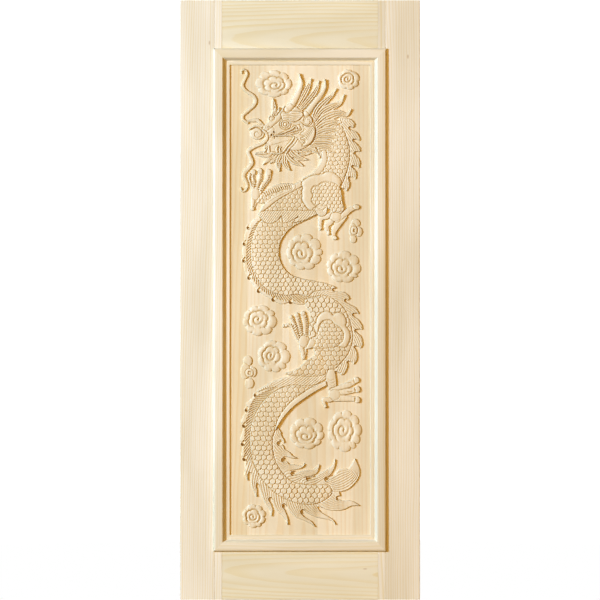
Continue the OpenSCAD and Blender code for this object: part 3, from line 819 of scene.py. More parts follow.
BEND_THREE_GUIDE = (
    (120, 730), (60, 714), (0, 690), (-50, 662), (-90, 626), (-118, 582), (-129, 540), (-127, 496),
    (-112, 452), (-88, 412), (-54, 380), (-8, 358), (44, 350), (104, 362),
)


# The smooth bands along the belly: middle line and widths
TRUNK_BAND = (((10, 1390), (-28, 1371), (-64, 1352), (-98, 1328), (-138, 1286)), (16, 19, 20, 18, 3))
BEND_THREE_BAND = (
    ((100, 728), (74, 716), (46, 702), (12, 680), (-22, 655), (-48, 628), (-66, 602), (-82, 568)),
    (12, 17, 18, 18, 17, 15, 11, 3),
)
NECK_BAND = (
    ((74, 1512), (81, 1486), (80, 1462), (68, 1438), (44, 1414), (14, 1400)),
    (10, 19, 20, 20, 18, 14),
)


def carve_scaled(
    relief: Relief,
    ring: Line,
    guide: Line,
    scales: Scales,
    height: float,
    edge: float,
    wall: float,
    cut: float = 2.5,
) -> None:
    """A rounded plate inside a ring, with scales cut into it."""
    outline = smooth_ring(ring)
    relief.plate(outline, height, edge=edge, wall=wall, cut=cut)
    scale_body(relief, outline, guide, scales)


def carve_body(relief: Relief) -> None:
    """The dragon's body, from the neck through three bends to the tail."""
    small, middling, large = Scales(15.5, 1.9), Scales(16.5, 2.0), Scales(18.5, 2.2)
    carve_scaled(relief, TRUNK, TRUNK_GUIDE, middling, 8.6, edge=16, wall=0.66)
    relief.stroke(*TRUNK_BAND, 9.8, wall=0.72, cut=2.6)
    carve_scaled(relief, BEND_ONE, BEND_ONE_GUIDE, middling, 9.4, edge=30, wall=0.62)
    relief.plate(smooth_ring(TRUNK_FIN), 9.8, edge=4, wall=0.75, cut=2.2)
    hatch(relief, smooth_ring(TRUNK_FIN), TRUNK_FIN_GUIDE, 6.2, -0.9, 1.2)
    carve_scaled(relief, BEND_TWO, BEND_TWO_GUIDE, large, 9.6, edge=26, wall=0.66)
    carve_scaled(relief, BEND_THREE, BEND_THREE_GUIDE, large, 10.0, edge=30, wall=0.62)
    relief.stroke(*BEND_THREE_BAND, 10.6, wall=0.72, cut=2.4)
    relief.groove(((84, 727), (66, 719), (48, 708), (30, 702)), 2.2, 1.2)
    carve_scaled(relief, NECK, NECK_GUIDE, small, 9.6, edge=24, wall=0.52)
    relief.stroke(*NECK_BAND, 9.8, wall=0.70, cut=2.4)


# ---------------------------------------------------------------------------
# Legs and paws
# ---------------------------------------------------------------------------

SHOULDER_COLLAR = (
    (137, 1402), (121, 1420), (105, 1427), (88, 1427), (72, 1419), (54, 1418), (38, 1414), (20, 1405),
    (9, 1396), (6, 1384), (10, 1374), (7, 1362), (8, 1347), (7, 1335), (14, 1322), (29, 1303),
    (46, 1300), (66, 1306), (90, 1330), (120, 1360), (136, 1384),
)
SHOULDER = (
    (62, 1382), (68, 1388), (84, 1395), (103, 1393), (121, 1387), (135, 1372), (139, 1350), (141, 1330),
    (147, 1304), (138, 1290), (124, 1280), (110, 1288), (98, 1304), (76, 1302), (60, 1312), (47, 1319),
    (38, 1334), (44, 1349), (38, 1364), (46, 1379),
)
THIGH_COLLAR = (
    (46, 914), (54, 924), (58, 940), (72, 957), (90, 963), (104, 958), (111, 950), (124, 958), (140, 956),
    (152, 941), (155, 923), (153, 914), (164, 899), (168, 878), (162, 856), (150, 842), (120, 850),
    (80, 880), (56, 890),
)
THIGH = (
    (62, 902), (66, 917), (76, 929), (91, 934), (106, 932), (120, 917), (136, 908), (147, 890),
    (146, 871), (138, 856), (120, 845), (94, 840), (62, 838), (40, 842), (26, 850), (26, 864),
    (42, 872), (57, 882),
)
FOREARM = (
    (-30, 1386), (-60, 1380), (-90, 1366), (-114, 1352), (-134, 1340), (-136, 1324), (-122, 1320),
    (-108, 1326), (-96, 1336), (-66, 1354), (-30, 1370),
)


@dataclass(frozen=True)
class Toe:
    """One toe: its middle line, its widths, and the size of the claw at its end."""

    line: Line
    widths: Sequence[float]
    claw: Point


LEFT_PAW = (
    Toe(((-150, 1352), (-158, 1382), (-168, 1402), (-167, 1418)), (14, 12, 9), (5, 6)),
    Toe(((-150, 1352), (-152, 1384), (-157, 1408), (-155, 1426)), (16, 15, 14), (8, 9)),
    Toe(((-146, 1350), (-140, 1384), (-132, 1408), (-133, 1430)), (16, 16, 15), (8, 10)),
    Toe(((-142, 1350), (-124, 1380), (-107, 1404), (-104, 1426)), (16, 18, 18), (9, 11)),
    Toe(((-148, 1356), (-152, 1334), (-154, 1318), (-158, 1305)), (26, 20, 13), (6, 7)),
)
RIGHT_PAW = (
    Toe(((110, 1288), (90, 1278), (70, 1270), (68, 1240)), (18, 15, 10), (5, 8)),
    Toe(((118, 1278), (100, 1258), (90, 1246), (95, 1224)), (20, 17, 11), (5, 8)),
    Toe(((146, 1280), (134, 1264), (119, 1240), (112, 1222), (117, 1207)), (24, 24, 18, 11), (7, 7)),
    Toe(((124, 1270), (150, 1288), (168, 1302), (188, 1310)), (24, 20, 15), (11, 9)),
)
HIND_PAW = (
    Toe(((6, 860), (-10, 884), (-29, 914), (-54, 913)), (18, 16, 8), (4, 5)),
    Toe(((8, 862), (-6, 892), (-20, 922), (-29, 942)), (18, 16, 12), (6, 7)),
    Toe(((12, 864), (4, 892), (-3, 922), (-10, 950)), (18, 17, 13), (6, 8)),
    Toe(((18, 862), (19, 892), (19, 926), (11, 955)), (20, 18, 15), (7, 8)),
    Toe(((16, 868), (10, 842), (13, 826), (12, 807)), (30, 24, 12), (5, 6)),
)
LOWER_PAW = (
    Toe(((112, 694), (140, 706), (166, 720), (188, 733)), (28, 22, 19), (10, 10)),
    Toe(((116, 684), (146, 692), (170, 697), (192, 702)), (26, 20, 17), (9, 11)),
    Toe(((116, 674), (146, 672), (172, 671), (192, 667)), (26, 20, 17), (9, 11)),
    Toe(((112, 676), (98, 668), (80, 666), (85, 645)), (22, 16, 8), (5, 6)),
)


def carve_paw(relief: Relief, toes: Sequence[Toe], height: float, ribbed: bool) -> None:
    """A paw: its toes side by side, a claw at each end, and ribs down the far side of a toe."""
    for toe in toes:
        relief.stroke(toe.line, toe.widths, height, wall=0.5, cut=1.6, tip=0.9)
    for toe in toes:
        relief.ball(toe.line[-1], toe.claw, height + 0.4, base=0.6, cut=0.8)
        line = smooth_line(toe.line, 5)
        for (x, z), (next_x, next_z) in zip(line[3:-3], line[4:-2]):
            if ribbed:
                span = math.copysign(math.hypot(next_x - x, next_z - z), next_z - z)
                off_x, off_z = (next_z - z) / span, (x - next_x) / span
                relief.groove([(x + k * off_x, z + k * off_z) for k in (1, 5, 9)], 2.8, 3.8, 3)


def carve_legs(relief: Relief) -> None:
    """Both collars, the scaled shoulder and thigh, the shanks, and the four paws."""
    small, middling = Scales(14.0, 1.8), Scales(15.5, 1.9)
    # Left foreleg, behind the trunk
    shank = ((-24, 1378), (-58, 1372), (-92, 1358), (-124, 1338), (-146, 1346))
    relief.stroke(shank, (20, 34, 38, 36, 26), 7.6, wall=0.55, crown=3, cut=1.0, how=Lay.HIGHEST)
    forearm_guide = ((-30, 1366), (-64, 1352), (-96, 1336), (-134, 1318))
    scale_body(relief, smooth_ring(FOREARM), forearm_guide, small)
    # A comb of short tufts along the leg's upper edge
    for k in range(14):
        x, z = -120 + 6.8 * k, 1354 + 26 * math.sin(math.radians(6.6 * k))
        relief.stroke(((x + 4, z - 7), (x + 1, z - 1), (x - 2, z + 5)), (6, 6, 3), 7.6, wall=0.6, cut=1.2)
    relief.stroke(((-142, 1334), (-150, 1352), (-148, 1366)), (20, 26, 24), 8.4, wall=0.55, cut=1.0)
    carve_paw(relief, LEFT_PAW, 7.8, ribbed=True)
    relief.ball((-149, 1354), (15, 20), 8.2, base=0.6, cut=0)
    # Right foreleg: collar, shoulder, forearm and paw
    relief.plate(smooth_ring(SHOULDER_COLLAR), 11.6, edge=13, wall=0.45, cut=2.4)
    carve_paw(relief, RIGHT_PAW, 8.6, ribbed=False)
    shoulder_guide = ((80, 1420), (92, 1370), (100, 1330), (122, 1270))
    carve_scaled(relief, SHOULDER, shoulder_guide, small, 11.8, edge=14, wall=0.62, cut=2.0)
    relief.ball((120, 1278), (20, 16), 9.4, base=0.6, cut=0)
    for line, widths in (
        (((50, 1303), (66, 1306), (82, 1308), (91, 1312)), (10, 20, 14, 3)),
        (((58, 1302), (68, 1292), (80, 1292), (91, 1311)), (14, 22, 14, 3)),
    ):
        relief.stroke(line, widths, 10.4, strands=4, wall=0.7, cut=1.6)
    # Hind leg in the second bend
    relief.plate(smooth_ring(THIGH_COLLAR), 12.0, edge=12, wall=0.5, cut=2.4)
    thigh_guide = ((110, 950), (104, 900), (84, 866), (20, 852))
    carve_scaled(relief, THIGH, thigh_guide, middling, 11.4, edge=16, wall=0.62, cut=2.2)
    relief.stroke(((40, 858), (26, 850), (12, 858), (6, 874)), (26, 28, 26, 20), 9.4, wall=0.6, cut=1.4)
    carve_paw(relief, HIND_PAW, 8.4, ribbed=True)
    relief.ball((12, 862), (15, 20), 8.8, base=0.6, cut=0)
    # Lower leg, out of the third bend
    relief.stroke(((104, 756), (104, 736), (108, 712), (116, 690)), (28, 34, 30, 34), 8.2, wall=0.6, cut=1.2)
    for k in range(4):
        z = 738 - 9 * k
        relief.groove(((92 + 3 * k, z), (103 + 3 * k, z - 6), (116 + 2 * k, z - 2)), 2.2, 1.2)
    carve_paw(relief, LOWER_PAW, 8.2, ribbed=False)
    relief.ball((116, 684), (20, 18), 8.8, base=0.6, cut=0)
    for toe in LOWER_PAW[:3]:
        x, z = toe.line[-1]
        relief.groove(((x - 7, z + 7), (x - 8, z), (x - 5, z - 7)), 2.6, 2.4)
        relief.groove(((x - 34, z - 6), (x - 26, z - 9), (x - 16, z - 8)), 3.2, 2.6)


# ---------------------------------------------------------------------------
# The head
# ---------------------------------------------------------------------------

UPPER_WHISKER = (
    (-193, 1757), (-194, 1764), (-187, 1768), (-178, 1763), (-177, 1750), (-187, 1730), (-191, 1714),
    (-179, 1697), (-157, 1683), (-148, 1667), (-153, 1650), (-173, 1632), (-190, 1616), (-189, 1602),
    (-174, 1591),
)
LOWER_WHISKER = (
    (-122, 1566), (-110, 1553), (-112, 1534), (-130, 1520), (-150, 1512), (-168, 1501), (-172, 1492),
    (-164, 1474), (-160, 1458), (-170, 1442), (-184, 1426), (-187, 1410), (-179, 1394), (-176, 1378),
    (-183, 1365), (-193, 1364), (-197, 1374),
)
# Hair behind the head: middle line, widths, strands
MANE = (
    (((44, 1600), (60, 1636), (86, 1664), (106, 1682), (122, 1704)), (14, 24, 22, 13, 3), 3),
    (((48, 1590), (76, 1626), (106, 1644), (134, 1658), (148, 1684)), (16, 26, 28, 15, 3), 4),
    (((50, 1576), (84, 1606), (124, 1622), (156, 1618), (171, 1636)), (18, 32, 32, 18, 3), 4),
    (((50, 1558), (80, 1580), (106, 1590), (136, 1594)), (22, 34, 30, 8), 4),
    (((48, 1546), (76, 1560), (104, 1566), (132, 1570)), (22, 30, 26, 6), 4),
    (((46, 1536), (72, 1542), (100, 1542), (128, 1544)), (22, 28, 24, 5), 4),
    (((42, 1526), (66, 1524), (92, 1524), (124, 1516)), (20, 26, 22, 4), 3),
    (((38, 1518), (62, 1508), (88, 1510), (120, 1494)), (18, 22, 18, 4), 3),
    (((30, 1510), (50, 1502), (64, 1494), (66, 1474)), (16, 20, 15, 3), 3),
)
CREST = (
    (((-16, 1634), (2, 1664), (24, 1704), (38, 1737)), (14, 20, 19, 3), 3),
    (((2, 1636), (28, 1666), (52, 1698), (64, 1730)), (14, 19, 17, 3), 3),
)
JAW_FRILL = (
    (((-74, 1490), (-84, 1478), (-98, 1470), (-112, 1462), (-122, 1452)), (18, 20, 15, 10, 3), 3),
    (((-66, 1490), (-76, 1474), (-88, 1466), (-100, 1456)), (16, 18, 14, 3), 3),
    (((-58, 1492), (-64, 1476), (-72, 1458), (-68, 1430)), (16, 22, 16, 3), 3),
    (((-50, 1494), (-50, 1478), (-50, 1456), (-33, 1433)), (16, 22, 18, 3), 3),
    (((-44, 1500), (-38, 1482), (-18, 1462), (11, 1448)), (16, 24, 20, 3), 3),
    (((-38, 1508), (-24, 1488), (-2, 1474), (26, 1468)), (16, 22, 18, 3), 3),
    (((-32, 1514), (-12, 1498), (10, 1488), (37, 1490)), (16, 20, 15, 3), 3),
    (((-20, 1518), (10, 1508), (36, 1502), (56, 1506)), (14, 18, 15, 4), 3),
)
SKULL = (
    (-108, 1584), (-104, 1598), (-92, 1612), (-78, 1616), (-66, 1626), (-46, 1638), (-28, 1650),
    (-12, 1644), (6, 1632), (24, 1624), (40, 1606), (50, 1584), (52, 1560), (48, 1540), (40, 1524),
    (24, 1512), (0, 1500), (-30, 1500), (-44, 1512), (-30, 1524), (-24, 1540), (-44, 1546),
    (-70, 1547), (-96, 1551), (-108, 1562), (-114, 1574),
)
GAPE = (
    (-104, 1548), (-80, 1546), (-50, 1546), (-28, 1545), (-22, 1538), (-34, 1524), (-50, 1508), (-60, 1496),
    (-84, 1494), (-104, 1496), (-118, 1500), (-116, 1516), (-108, 1530),
)
LOWER_JAW = (
    (-46, 1504), (-60, 1498), (-86, 1497), (-110, 1498), (-136, 1494), (-150, 1490), (-140, 1481),
    (-112, 1474), (-86, 1468), (-60, 1470), (-40, 1482), (-30, 1500),
)
BROW = (
    (-61, 1609), (-61, 1624), (-42, 1630), (-15, 1630), (7, 1626), (13, 1618), (4, 1607), (-9, 1597),
    (-31, 1594), (-53, 1598),
)
CHEEK = (
    (0, 1592), (16, 1584), (34, 1578), (48, 1578), (51, 1560), (48, 1544), (40, 1528), (26, 1516), (8, 1514),
    (20, 1530), (4, 1538), (16, 1546), (2, 1554), (14, 1566), (4, 1576),
)
EAR_CURL = (
    (36, 1609), (27, 1612), (18, 1604), (17, 1592), (25, 1585), (34, 1590), (34, 1600), (27, 1602),
)
# Rows of short cuts on the cheek and under the eye: start, step, how many, the cut, width, depth
FACE_CUTS = (
    ((10, 1524), (3.4, 5.2), 11, ((-6, 8), (1, 3), (6, -5)), 2.4, 2.0),
    ((-38, 1551), (4.6, 1.9), 12, ((0, 6), (4, 0), (9, -5)), 2.2, 1.9),
    ((-14, 1545), (4.5, -5.0), 7, ((-7, 2), (0, 0), (6, -5)), 2.4, 1.9),
)
# The lips: middle line, widths, height, cut
LIPS = (
    (
        (
            (-104, 1552), (-82, 1549), (-56, 1549), (-34, 1549), (-20, 1542), (-31, 1525), (-46, 1508),
            (-56, 1494),
        ),
        (4, 5, 6, 6, 7, 8, 8, 7), 10.6, 1.2,
    ),
    (((-8, 1540), (-20, 1522), (-36, 1506), (-46, 1490)), (4, 8, 8, 5), 10.2, 1.4),
    (((-148, 1488), (-124, 1488), (-96, 1491), (-72, 1489), (-56, 1494)), (4, 6, 7, 7, 5), 10.2, 1.4),
)
TEETH = (
    (((-104, 1494), (-104, 1504), (-103, 1516)), (13, 9, 2)),
    (((-76, 1494), (-78, 1504), (-73, 1514)), (9, 8, 2)),
    (((-66, 1495), (-68, 1504), (-62, 1512)), (8, 6, 2)),
    (((-120, 1492), (-114, 1500), (-108, 1509)), (6, 5, 2)),
    (((-104, 1556), (-103, 1550), (-101, 1543)), (7, 6, 2)),
    (((-92, 1553), (-90, 1547), (-86, 1540)), (7, 6, 2)),
)
# The horns: middle line, widths, height
HORNS = (
    (((22, 1622), (44, 1652), (68, 1682), (84, 1710), (84, 1735)), (22, 20, 18, 12, 3), 11.6),
    (((-42, 1636), (-24, 1654), (-8, 1684), (5, 1722), (-2, 1754)), (24, 21, 18, 12, 3), 12.0),
)


def carve_whiskers(relief: Relief) -> None:
    """The two long whiskers, each with a curl at its free end."""
    relief.stroke(UPPER_WHISKER, (5, 9, 11, 11, 11, 11, 8), 6.4, wall=0.4, cut=0)
    relief.stroke(LOWER_WHISKER, (9, 12, 11, 12, 12, 14, 12, 9, 6), 9.0, wall=0.4, cut=1.8, tip=0.7)


def carve_hair(relief: Relief) -> None:
    """Crest, mane and jaw frill, strand by strand from the back to the front."""
    for line, widths, strands in MANE:
        relief.stroke(line, widths, 9.4, strands, depth=3.0, wall=0.5, crown=2.5, cut=1.4, tip=0.75)
    for line, widths, strands in CREST:
        relief.stroke(line, widths, 8.8, strands, depth=3.0, wall=0.5, crown=2.5, cut=1.2, tip=0.8)
    relief.plate(smooth_ring(LOWER_JAW), 8.4, edge=8, wall=0.5, cut=1.2)
    for line, widths, strands in JAW_FRILL:
        relief.stroke(line, widths, 8.6, strands, depth=2.6, wall=0.45, crown=2.5, cut=1.2, tip=0.75)
    for hole in (
        ((-4, 1489), (0, 1487)),
        ((28, 1495), (32, 1493)),
        ((-23, 1474), (-19, 1470)),
        ((54, 1507), (58, 1503)),
    ):
        relief.hollow(hole, (5, 4))
    relief.groove(((55, 1506), (63, 1491), (66, 1475)), 4.0, 4.0)


def carve_snout(relief: Relief) -> None:
    """The nose: a scrolled ball, two leaves, a ringed nostril, and two blades above."""
    relief.stroke(((-181, 1596), (-160, 1598), (-142, 1599), (-124, 1583)), (4, 9, 13, 9), 7.4, cut=1.2)
    relief.stroke(((-168, 1570), (-152, 1578), (-134, 1580), (-112, 1580)), (5, 11, 12, 10), 8.0, cut=1.2)
    relief.ball((-142, 1556), (24, 21), 8.8, base=0.35, cut=1.4)
    outer_turn = ((-163, 1562), (-152, 1574), (-136, 1573), (-126, 1562), (-128, 1548), (-140, 1541))
    relief.groove(outer_turn, 3.2, 2.8)
    relief.groove(((-140, 1541), (-150, 1547), (-150, 1557), (-142, 1562), (-136, 1556)), 3.0, 2.4)
    blade = ((-84, 1632), (-87, 1646), (-88, 1658), (-89, 1672))
    relief.stroke(blade, (17, 16, 11, 2), 8.2, wall=0.4, cut=1.0)
    relief.groove(((-84, 1630), (-85, 1646), (-87, 1662)), 2.6, 2.2)
    for line, widths, height, strands, cut in (
        (((-84, 1604), (-84, 1622), (-82, 1640)), (22, 20, 6), 8.4, 4, 1.0),
        (((-74, 1606), (-73, 1622), (-69, 1641)), (16, 13, 3), 9.0, 3, 1.4),
    ):
        relief.stroke(line, widths, height, strands, depth=2.4, wall=0.5, cut=cut)


def carve_eye(relief: Relief) -> None:
    """The eye in its two rings, under a brow with wavy cuts."""
    relief.plate(smooth_ring(BROW), 12.6, edge=6, wall=0.7, cut=2.2)
    for wave in (
        ((-56, 1621), (-36, 1624), (-16, 1621), (4, 1622)),
        ((-58, 1613), (-38, 1617), (-16, 1613), (6, 1615)),
        ((-56, 1605), (-36, 1609), (-18, 1606), (0, 1609)),
        ((-46, 1599), (-34, 1602), (-20, 1600), (-10, 1602)),
    ):
        relief.groove(wave, 2.6, 2.2)
    for half, height, base, cut in (
        ((18, 17), 11.8, 0.85, 3.0),
        ((12, 11.5), 12.2, 0.8, 4.0),
        ((5.5, 5.5), 12.6, 0.7, 4.0),
    ):
        relief.ball((-48.5, 1586), half, height, base, cut)


def carve_face(relief: Relief) -> None:
    """Skull, nose ridge, folds, ear and cheeks."""
    relief.plate(smooth_ring(SKULL), 10.2, edge=12, wall=0.5, cut=2.0)
    relief.ball((-100, 1566), (17, 15), 11.0, base=0.75, cut=0)
    nose_ridge = ((-112, 1574), (-96, 1588), (-78, 1602), (-62, 1620), (-48, 1640))
    relief.stroke(nose_ridge, (20, 20, 18, 17, 16), 12.0, wall=0.65, cut=1.6)
    (x, z), radius = (-95, 1605), 6.8
    relief.ball((x, z), (10, 10), 11.6, base=0.75, cut=2.0)
    turns = np.linspace(0, math.tau, 19)
    relief.groove([(x + radius * math.cos(a), z + radius * math.sin(a)) for a in turns], 2.2, 2.4)
    for x, z in ((-116, 1577), (-110, 1577), (-104, 1577)):
        relief.groove(((x - 1, z + 6), (x + 2, z), (x + 1, z - 6)), 2.2, 2.0)
    carve_eye(relief)
    # Folds under the eye, with short cuts between them
    for line, widths, height, cut in (
        (((-66, 1554), (-44, 1562), (-26, 1571), (-15, 1579), (-10, 1570)), (3, 6, 7, 6, 3), 11.8, 2.4),
        (((-52, 1552), (-34, 1558), (-14, 1566), (4, 1568)), (3, 6, 7, 3), 11.4, 2.2),
        (((-70, 1549), (-46, 1549), (-24, 1555), (-6, 1558)), (3, 6, 7, 3), 11.0, 2.0),
    ):
        relief.stroke(line, widths, height, wall=0.6, cut=cut)
    relief.plate(smooth_ring(CHEEK), 11.8, edge=6, wall=0.6, cut=2.4)
    for start, step, count, cut_line, width, depth in FACE_CUTS:
        for k in range(count):
            x, z = start[0] + step[0] * k, start[1] + step[1] * k
            relief.groove([(x + off_x, z + off_z) for off_x, off_z in cut_line], width, depth)
    relief.ball((27, 1598), (14, 17), 12.6, base=0.7, cut=2.6)
    relief.groove(EAR_CURL, 3.0, 3.0)
    relief.stroke(((-34, 1594), (-14, 1588), (2, 1590), (12, 1580)), (4, 9, 8, 3), 11.0, wall=0.6, cut=1.6)


def carve_mouth(relief: Relief) -> None:
    """The shallow gape with its tongue, the lips' double bands, and the teeth."""
    w = relief.window(np.array(GAPE, float), 2)
    ring = smooth_ring(GAPE)
    inner = relief.edge_distance(w, ring)
    relief.lay(w, relief.inside(w, ring), 7.4 - 1.2 * np.clip(inner / 5, 0, 1), Lay.OVER)
    relief.stroke(((-112, 1512), (-92, 1524), (-66, 1530), (-40, 1536)), (6, 14, 15, 5), 7.4, wall=0.8, cut=0)
    relief.groove(((-96, 1518), (-74, 1522), (-52, 1530)), 2.2, 1.4)
    for line, widths, height, cut in LIPS:
        relief.stroke(line, widths, height, wall=0.6, cut=cut)
    for line, widths in TEETH:
        relief.stroke(line, widths, 9.4, wall=0.6, cut=0.6)
    for hole in (((-87, 1561), (-85, 1557)), ((-95, 1551), (-92, 1547))):
        relief.hollow(hole, (5, 3), floor=3.0)
    relief.groove(((-128, 1484), (-108, 1480), (-84, 1480), (-64, 1480)), 2.4, 1.8)


def carve_horns(relief: Relief) -> None:
    """Two smooth horns, each with a ring at its root."""
    for line, widths, height in HORNS:
        relief.stroke(line, widths, height, wall=0.35, cut=2.4, tip=0.8)
    relief.groove(((-38, 1660), (-28, 1654), (-18, 1644)), 2.6, 2.2)
    relief.groove(((14, 1632), (24, 1628), (32, 1618)), 2.6, 2.2)


def carve_head(relief: Relief) -> None:
    """The whole head, from the hair behind to the nose in front."""
    carve_hair(relief)
    carve_snout(relief)
    carve_face(relief)
    carve_horns(relief)
    carve_mouth(relief)
    carve_whiskers(relief)


# The panel leaves room for this share of the heights above
DEPTH_SHARE = 0.78
# The last crispening: share of what stands over the mean, and cells to each side of the mean
CRISP_SHARE, CRISP_CELLS = 0.9, 2


def carve_dragon(relief: Relief) -> None:
    """Everything on the panel, from what lies behind to what lies in front."""
    for cloud in CLOUDS:
        carve_cloud(relief, cloud)
    carve_small_clouds(relief)
    carve_fins(relief)
    carve_flames(relief)
    carve_body(relief)
    carve_legs(relief)
    carve_head(relief)
    relief.height *= DEPTH_SHARE
    relief.soften()
    relief.crispen(CRISP_SHARE, CRISP_CELLS)


# ---------------------------------------------------------------------------
# Node building
# ---------------------------------------------------------------------------

Source = bpy.types.NodeSocket | float | tuple[float, ...]


@dataclass
class Graph:
    """A node tree with short calls that add a node and wire it."""

    tree: bpy.types.NodeTree

    def node(self, kind: str, **settings: object) -> bpy.types.Node:
        """Adds a node and sets its own properties."""
        made = self.tree.nodes.new(kind)
        for name, value in settings.items():
            setattr(made, name, value)
        return made

    def feed(self, socket: bpy.types.NodeSocket, source: Source) -> None:
        """Links a socket to another node's output, or sets its constant."""
        if isinstance(source, bpy.types.NodeSocket):
            self.tree.links.new(source, socket)
        else:
            socket.default_value = source

    def math(self, operation: str, *sources: Source, clamp: bool = False) -> bpy.types.NodeSocket:
        """A Math node of one to three inputs."""
        made = self.node("ShaderNodeMath", operation=operation, use_clamp=clamp)
        for socket, source in zip(made.inputs, sources):
            self.feed(socket, source)
        return made.outputs[0]

    def vector(self, operation: str, *sources: Source) -> bpy.types.NodeSocket:
        """A Vector Math node."""
        made = self.node("ShaderNodeVectorMath", operation=operation)
        for socket, source in zip(made.inputs, sources):
            self.feed(socket, source)
        return made.outputs["Value" if operation in ("LENGTH", "DOT_PRODUCT") else "Vector"]

    def ramp(self, value: Source, low: float, high: float) -> bpy.types.NodeSocket:
        """A soft step of a value from 0 at low to 1 at high."""
        made = self.node("ShaderNodeMapRange", interpolation_type="SMOOTHSTEP")
        self.feed(made.inputs["Value"], value)
        made.inputs["From Min"].default_value = low
        made.inputs["From Max"].default_value = high
        return made.outputs["Result"]

    def noise(self, place: Source, scale: float, detail: float, seed: Source) -> bpy.types.NodeSocket:
        """Noise from 0 to 1 at a place; each seed gives another noise."""
        made = self.node("ShaderNodeTexNoise", noise_dimensions="4D")
        self.feed(made.inputs["Vector"], place)
        made.inputs["Scale"].default_value = scale
        made.inputs["Detail"].default_value = detail
        self.feed(made.inputs["W"], seed)
        return made.outputs["Fac"]

    def mix(self, share: Source, first: Source, second: Source, blend: str = "MIX") -> bpy.types.NodeSocket:
        """A colour mix."""
        made = self.node("ShaderNodeMix", data_type="RGBA", blend_type=blend)
        self.feed(made.inputs[0], share)
        self.feed(made.inputs[6], first)
        self.feed(made.inputs[7], second)
        return made.outputs[2]

    def tint(self, share: Source, colour: Source, tint: Triple) -> bpy.types.NodeSocket:
        """The colour, brought by a share towards colour * tint."""
        return self.mix(share, colour, self.mix(1.0, colour, (*tint, 1), "MULTIPLY"))


def fresh_graph(owner: bpy.types.Material | bpy.types.World) -> Graph:
    """An empty node graph for a material or a world."""
    owner.use_nodes = True
    owner.node_tree.nodes.clear()
    return Graph(owner.node_tree)


def new_group(
    name: str, inputs: dict[str, object], outputs: dict[str, str]
) -> tuple[Graph, bpy.types.Node, bpy.types.Node]:
    """Starts a node group.

    Args:
        name: The group's name.
        inputs: Each input with its default, a number or a tuple for a vector.
        outputs: Each output with its socket type.

    Returns:
        The graph, its input node and its output node.
    """
    tree = bpy.data.node_groups.new(name, "ShaderNodeTree")
    for label, value in inputs.items():
        kind = "NodeSocketVector" if isinstance(value, tuple) else "NodeSocketFloat"
        tree.interface.new_socket(label, in_out="INPUT", socket_type=kind).default_value = value
    for label, kind in outputs.items():
        tree.interface.new_socket(label, in_out="OUTPUT", socket_type=kind)
    graph = Graph(tree)
    return graph, graph.node("NodeGroupInput"), graph.node("NodeGroupOutput")


# How the rings waver along a trunk: scale of the noise, and reach in metres
WAVERS = ((7.0, 0.030), (38.0, 0.0045))
# Where the late wood begins and ends in a ring
LATE_START, LATE_END = 0.35, 0.93
# How much slower things change along the grain than across it
ALONG_GRAIN = (1.0, 1.0, 0.16)
ALONG_FIBRE = (1.0, 1.0, 0.02)


def make_growth_rings() -> bpy.types.NodeTree:
    """Growth rings of a trunk whose pith runs near the grain axis Z.

    The ring number is the wavering distance from the pith over the ring width. Early wood is
    pale, late wood is a darker line that builds up slowly and ends sharply. Where a board cuts
    the rings along, they show as long lines and arches, and on its ends as arcs.
    """
    graph, given, made = new_group(
        "growth_rings",
        {
            "Place": (0.0, 0.0, 0.0),
            "Pith": (0.0, 0.05, 0.0),
            "Tilt": (0.01, 0.02, 0.0),
            "Ring Width": 0.006,
            "Seed": 0.0,
        },
        {"Late Wood": "NodeSocketFloat", "Tone": "NodeSocketFloat", "Fibre": "NodeSocketFloat"},
    )
    place, seed = given.outputs["Place"], given.outputs["Seed"]
    split = graph.node("ShaderNodeSeparateXYZ")
    graph.feed(split.inputs[0], place)
    lean = graph.vector("SCALE", given.outputs["Tilt"])
    graph.feed(lean.node.inputs["Scale"], split.outputs["Z"])
    long_place = graph.vector("MULTIPLY", place, ALONG_GRAIN)
    from_pith = graph.vector("SUBTRACT", graph.vector("SUBTRACT", place, given.outputs["Pith"]), lean)
    radius = graph.vector("LENGTH", graph.vector("MULTIPLY", from_pith, (1.0, 1.0, 0.0)))
    for scale, reach in WAVERS:
        waver = graph.math("SUBTRACT", graph.noise(long_place, scale, 2.0, seed), 0.5)
        radius = graph.math("ADD", radius, graph.math("MULTIPLY", waver, reach))
    ring = graph.math("DIVIDE", radius, given.outputs["Ring Width"])
    phase = graph.math("FRACT", ring)
    rise = graph.ramp(phase, LATE_START, LATE_END)
    fall = graph.math("SUBTRACT", 1.0, graph.ramp(phase, LATE_END, 1.0))
    year = graph.noise(graph.math("FLOOR", ring), 3.1, 0.0, seed)
    strength = graph.math("ADD", 0.05, graph.math("MULTIPLY", year, 1.5))
    late = graph.math("MULTIPLY", graph.math("MULTIPLY", rise, fall), strength, clamp=True)
    fibre_place = graph.vector("MULTIPLY", place, ALONG_FIBRE)
    graph.feed(made.inputs["Late Wood"], late)
    graph.feed(made.inputs["Tone"], graph.noise(long_place, 9.0, 3.0, graph.math("ADD", seed, 4.0)))
    graph.feed(made.inputs["Fibre"], graph.noise(fibre_place, 900.0, 3.0, seed))
    return graph.tree


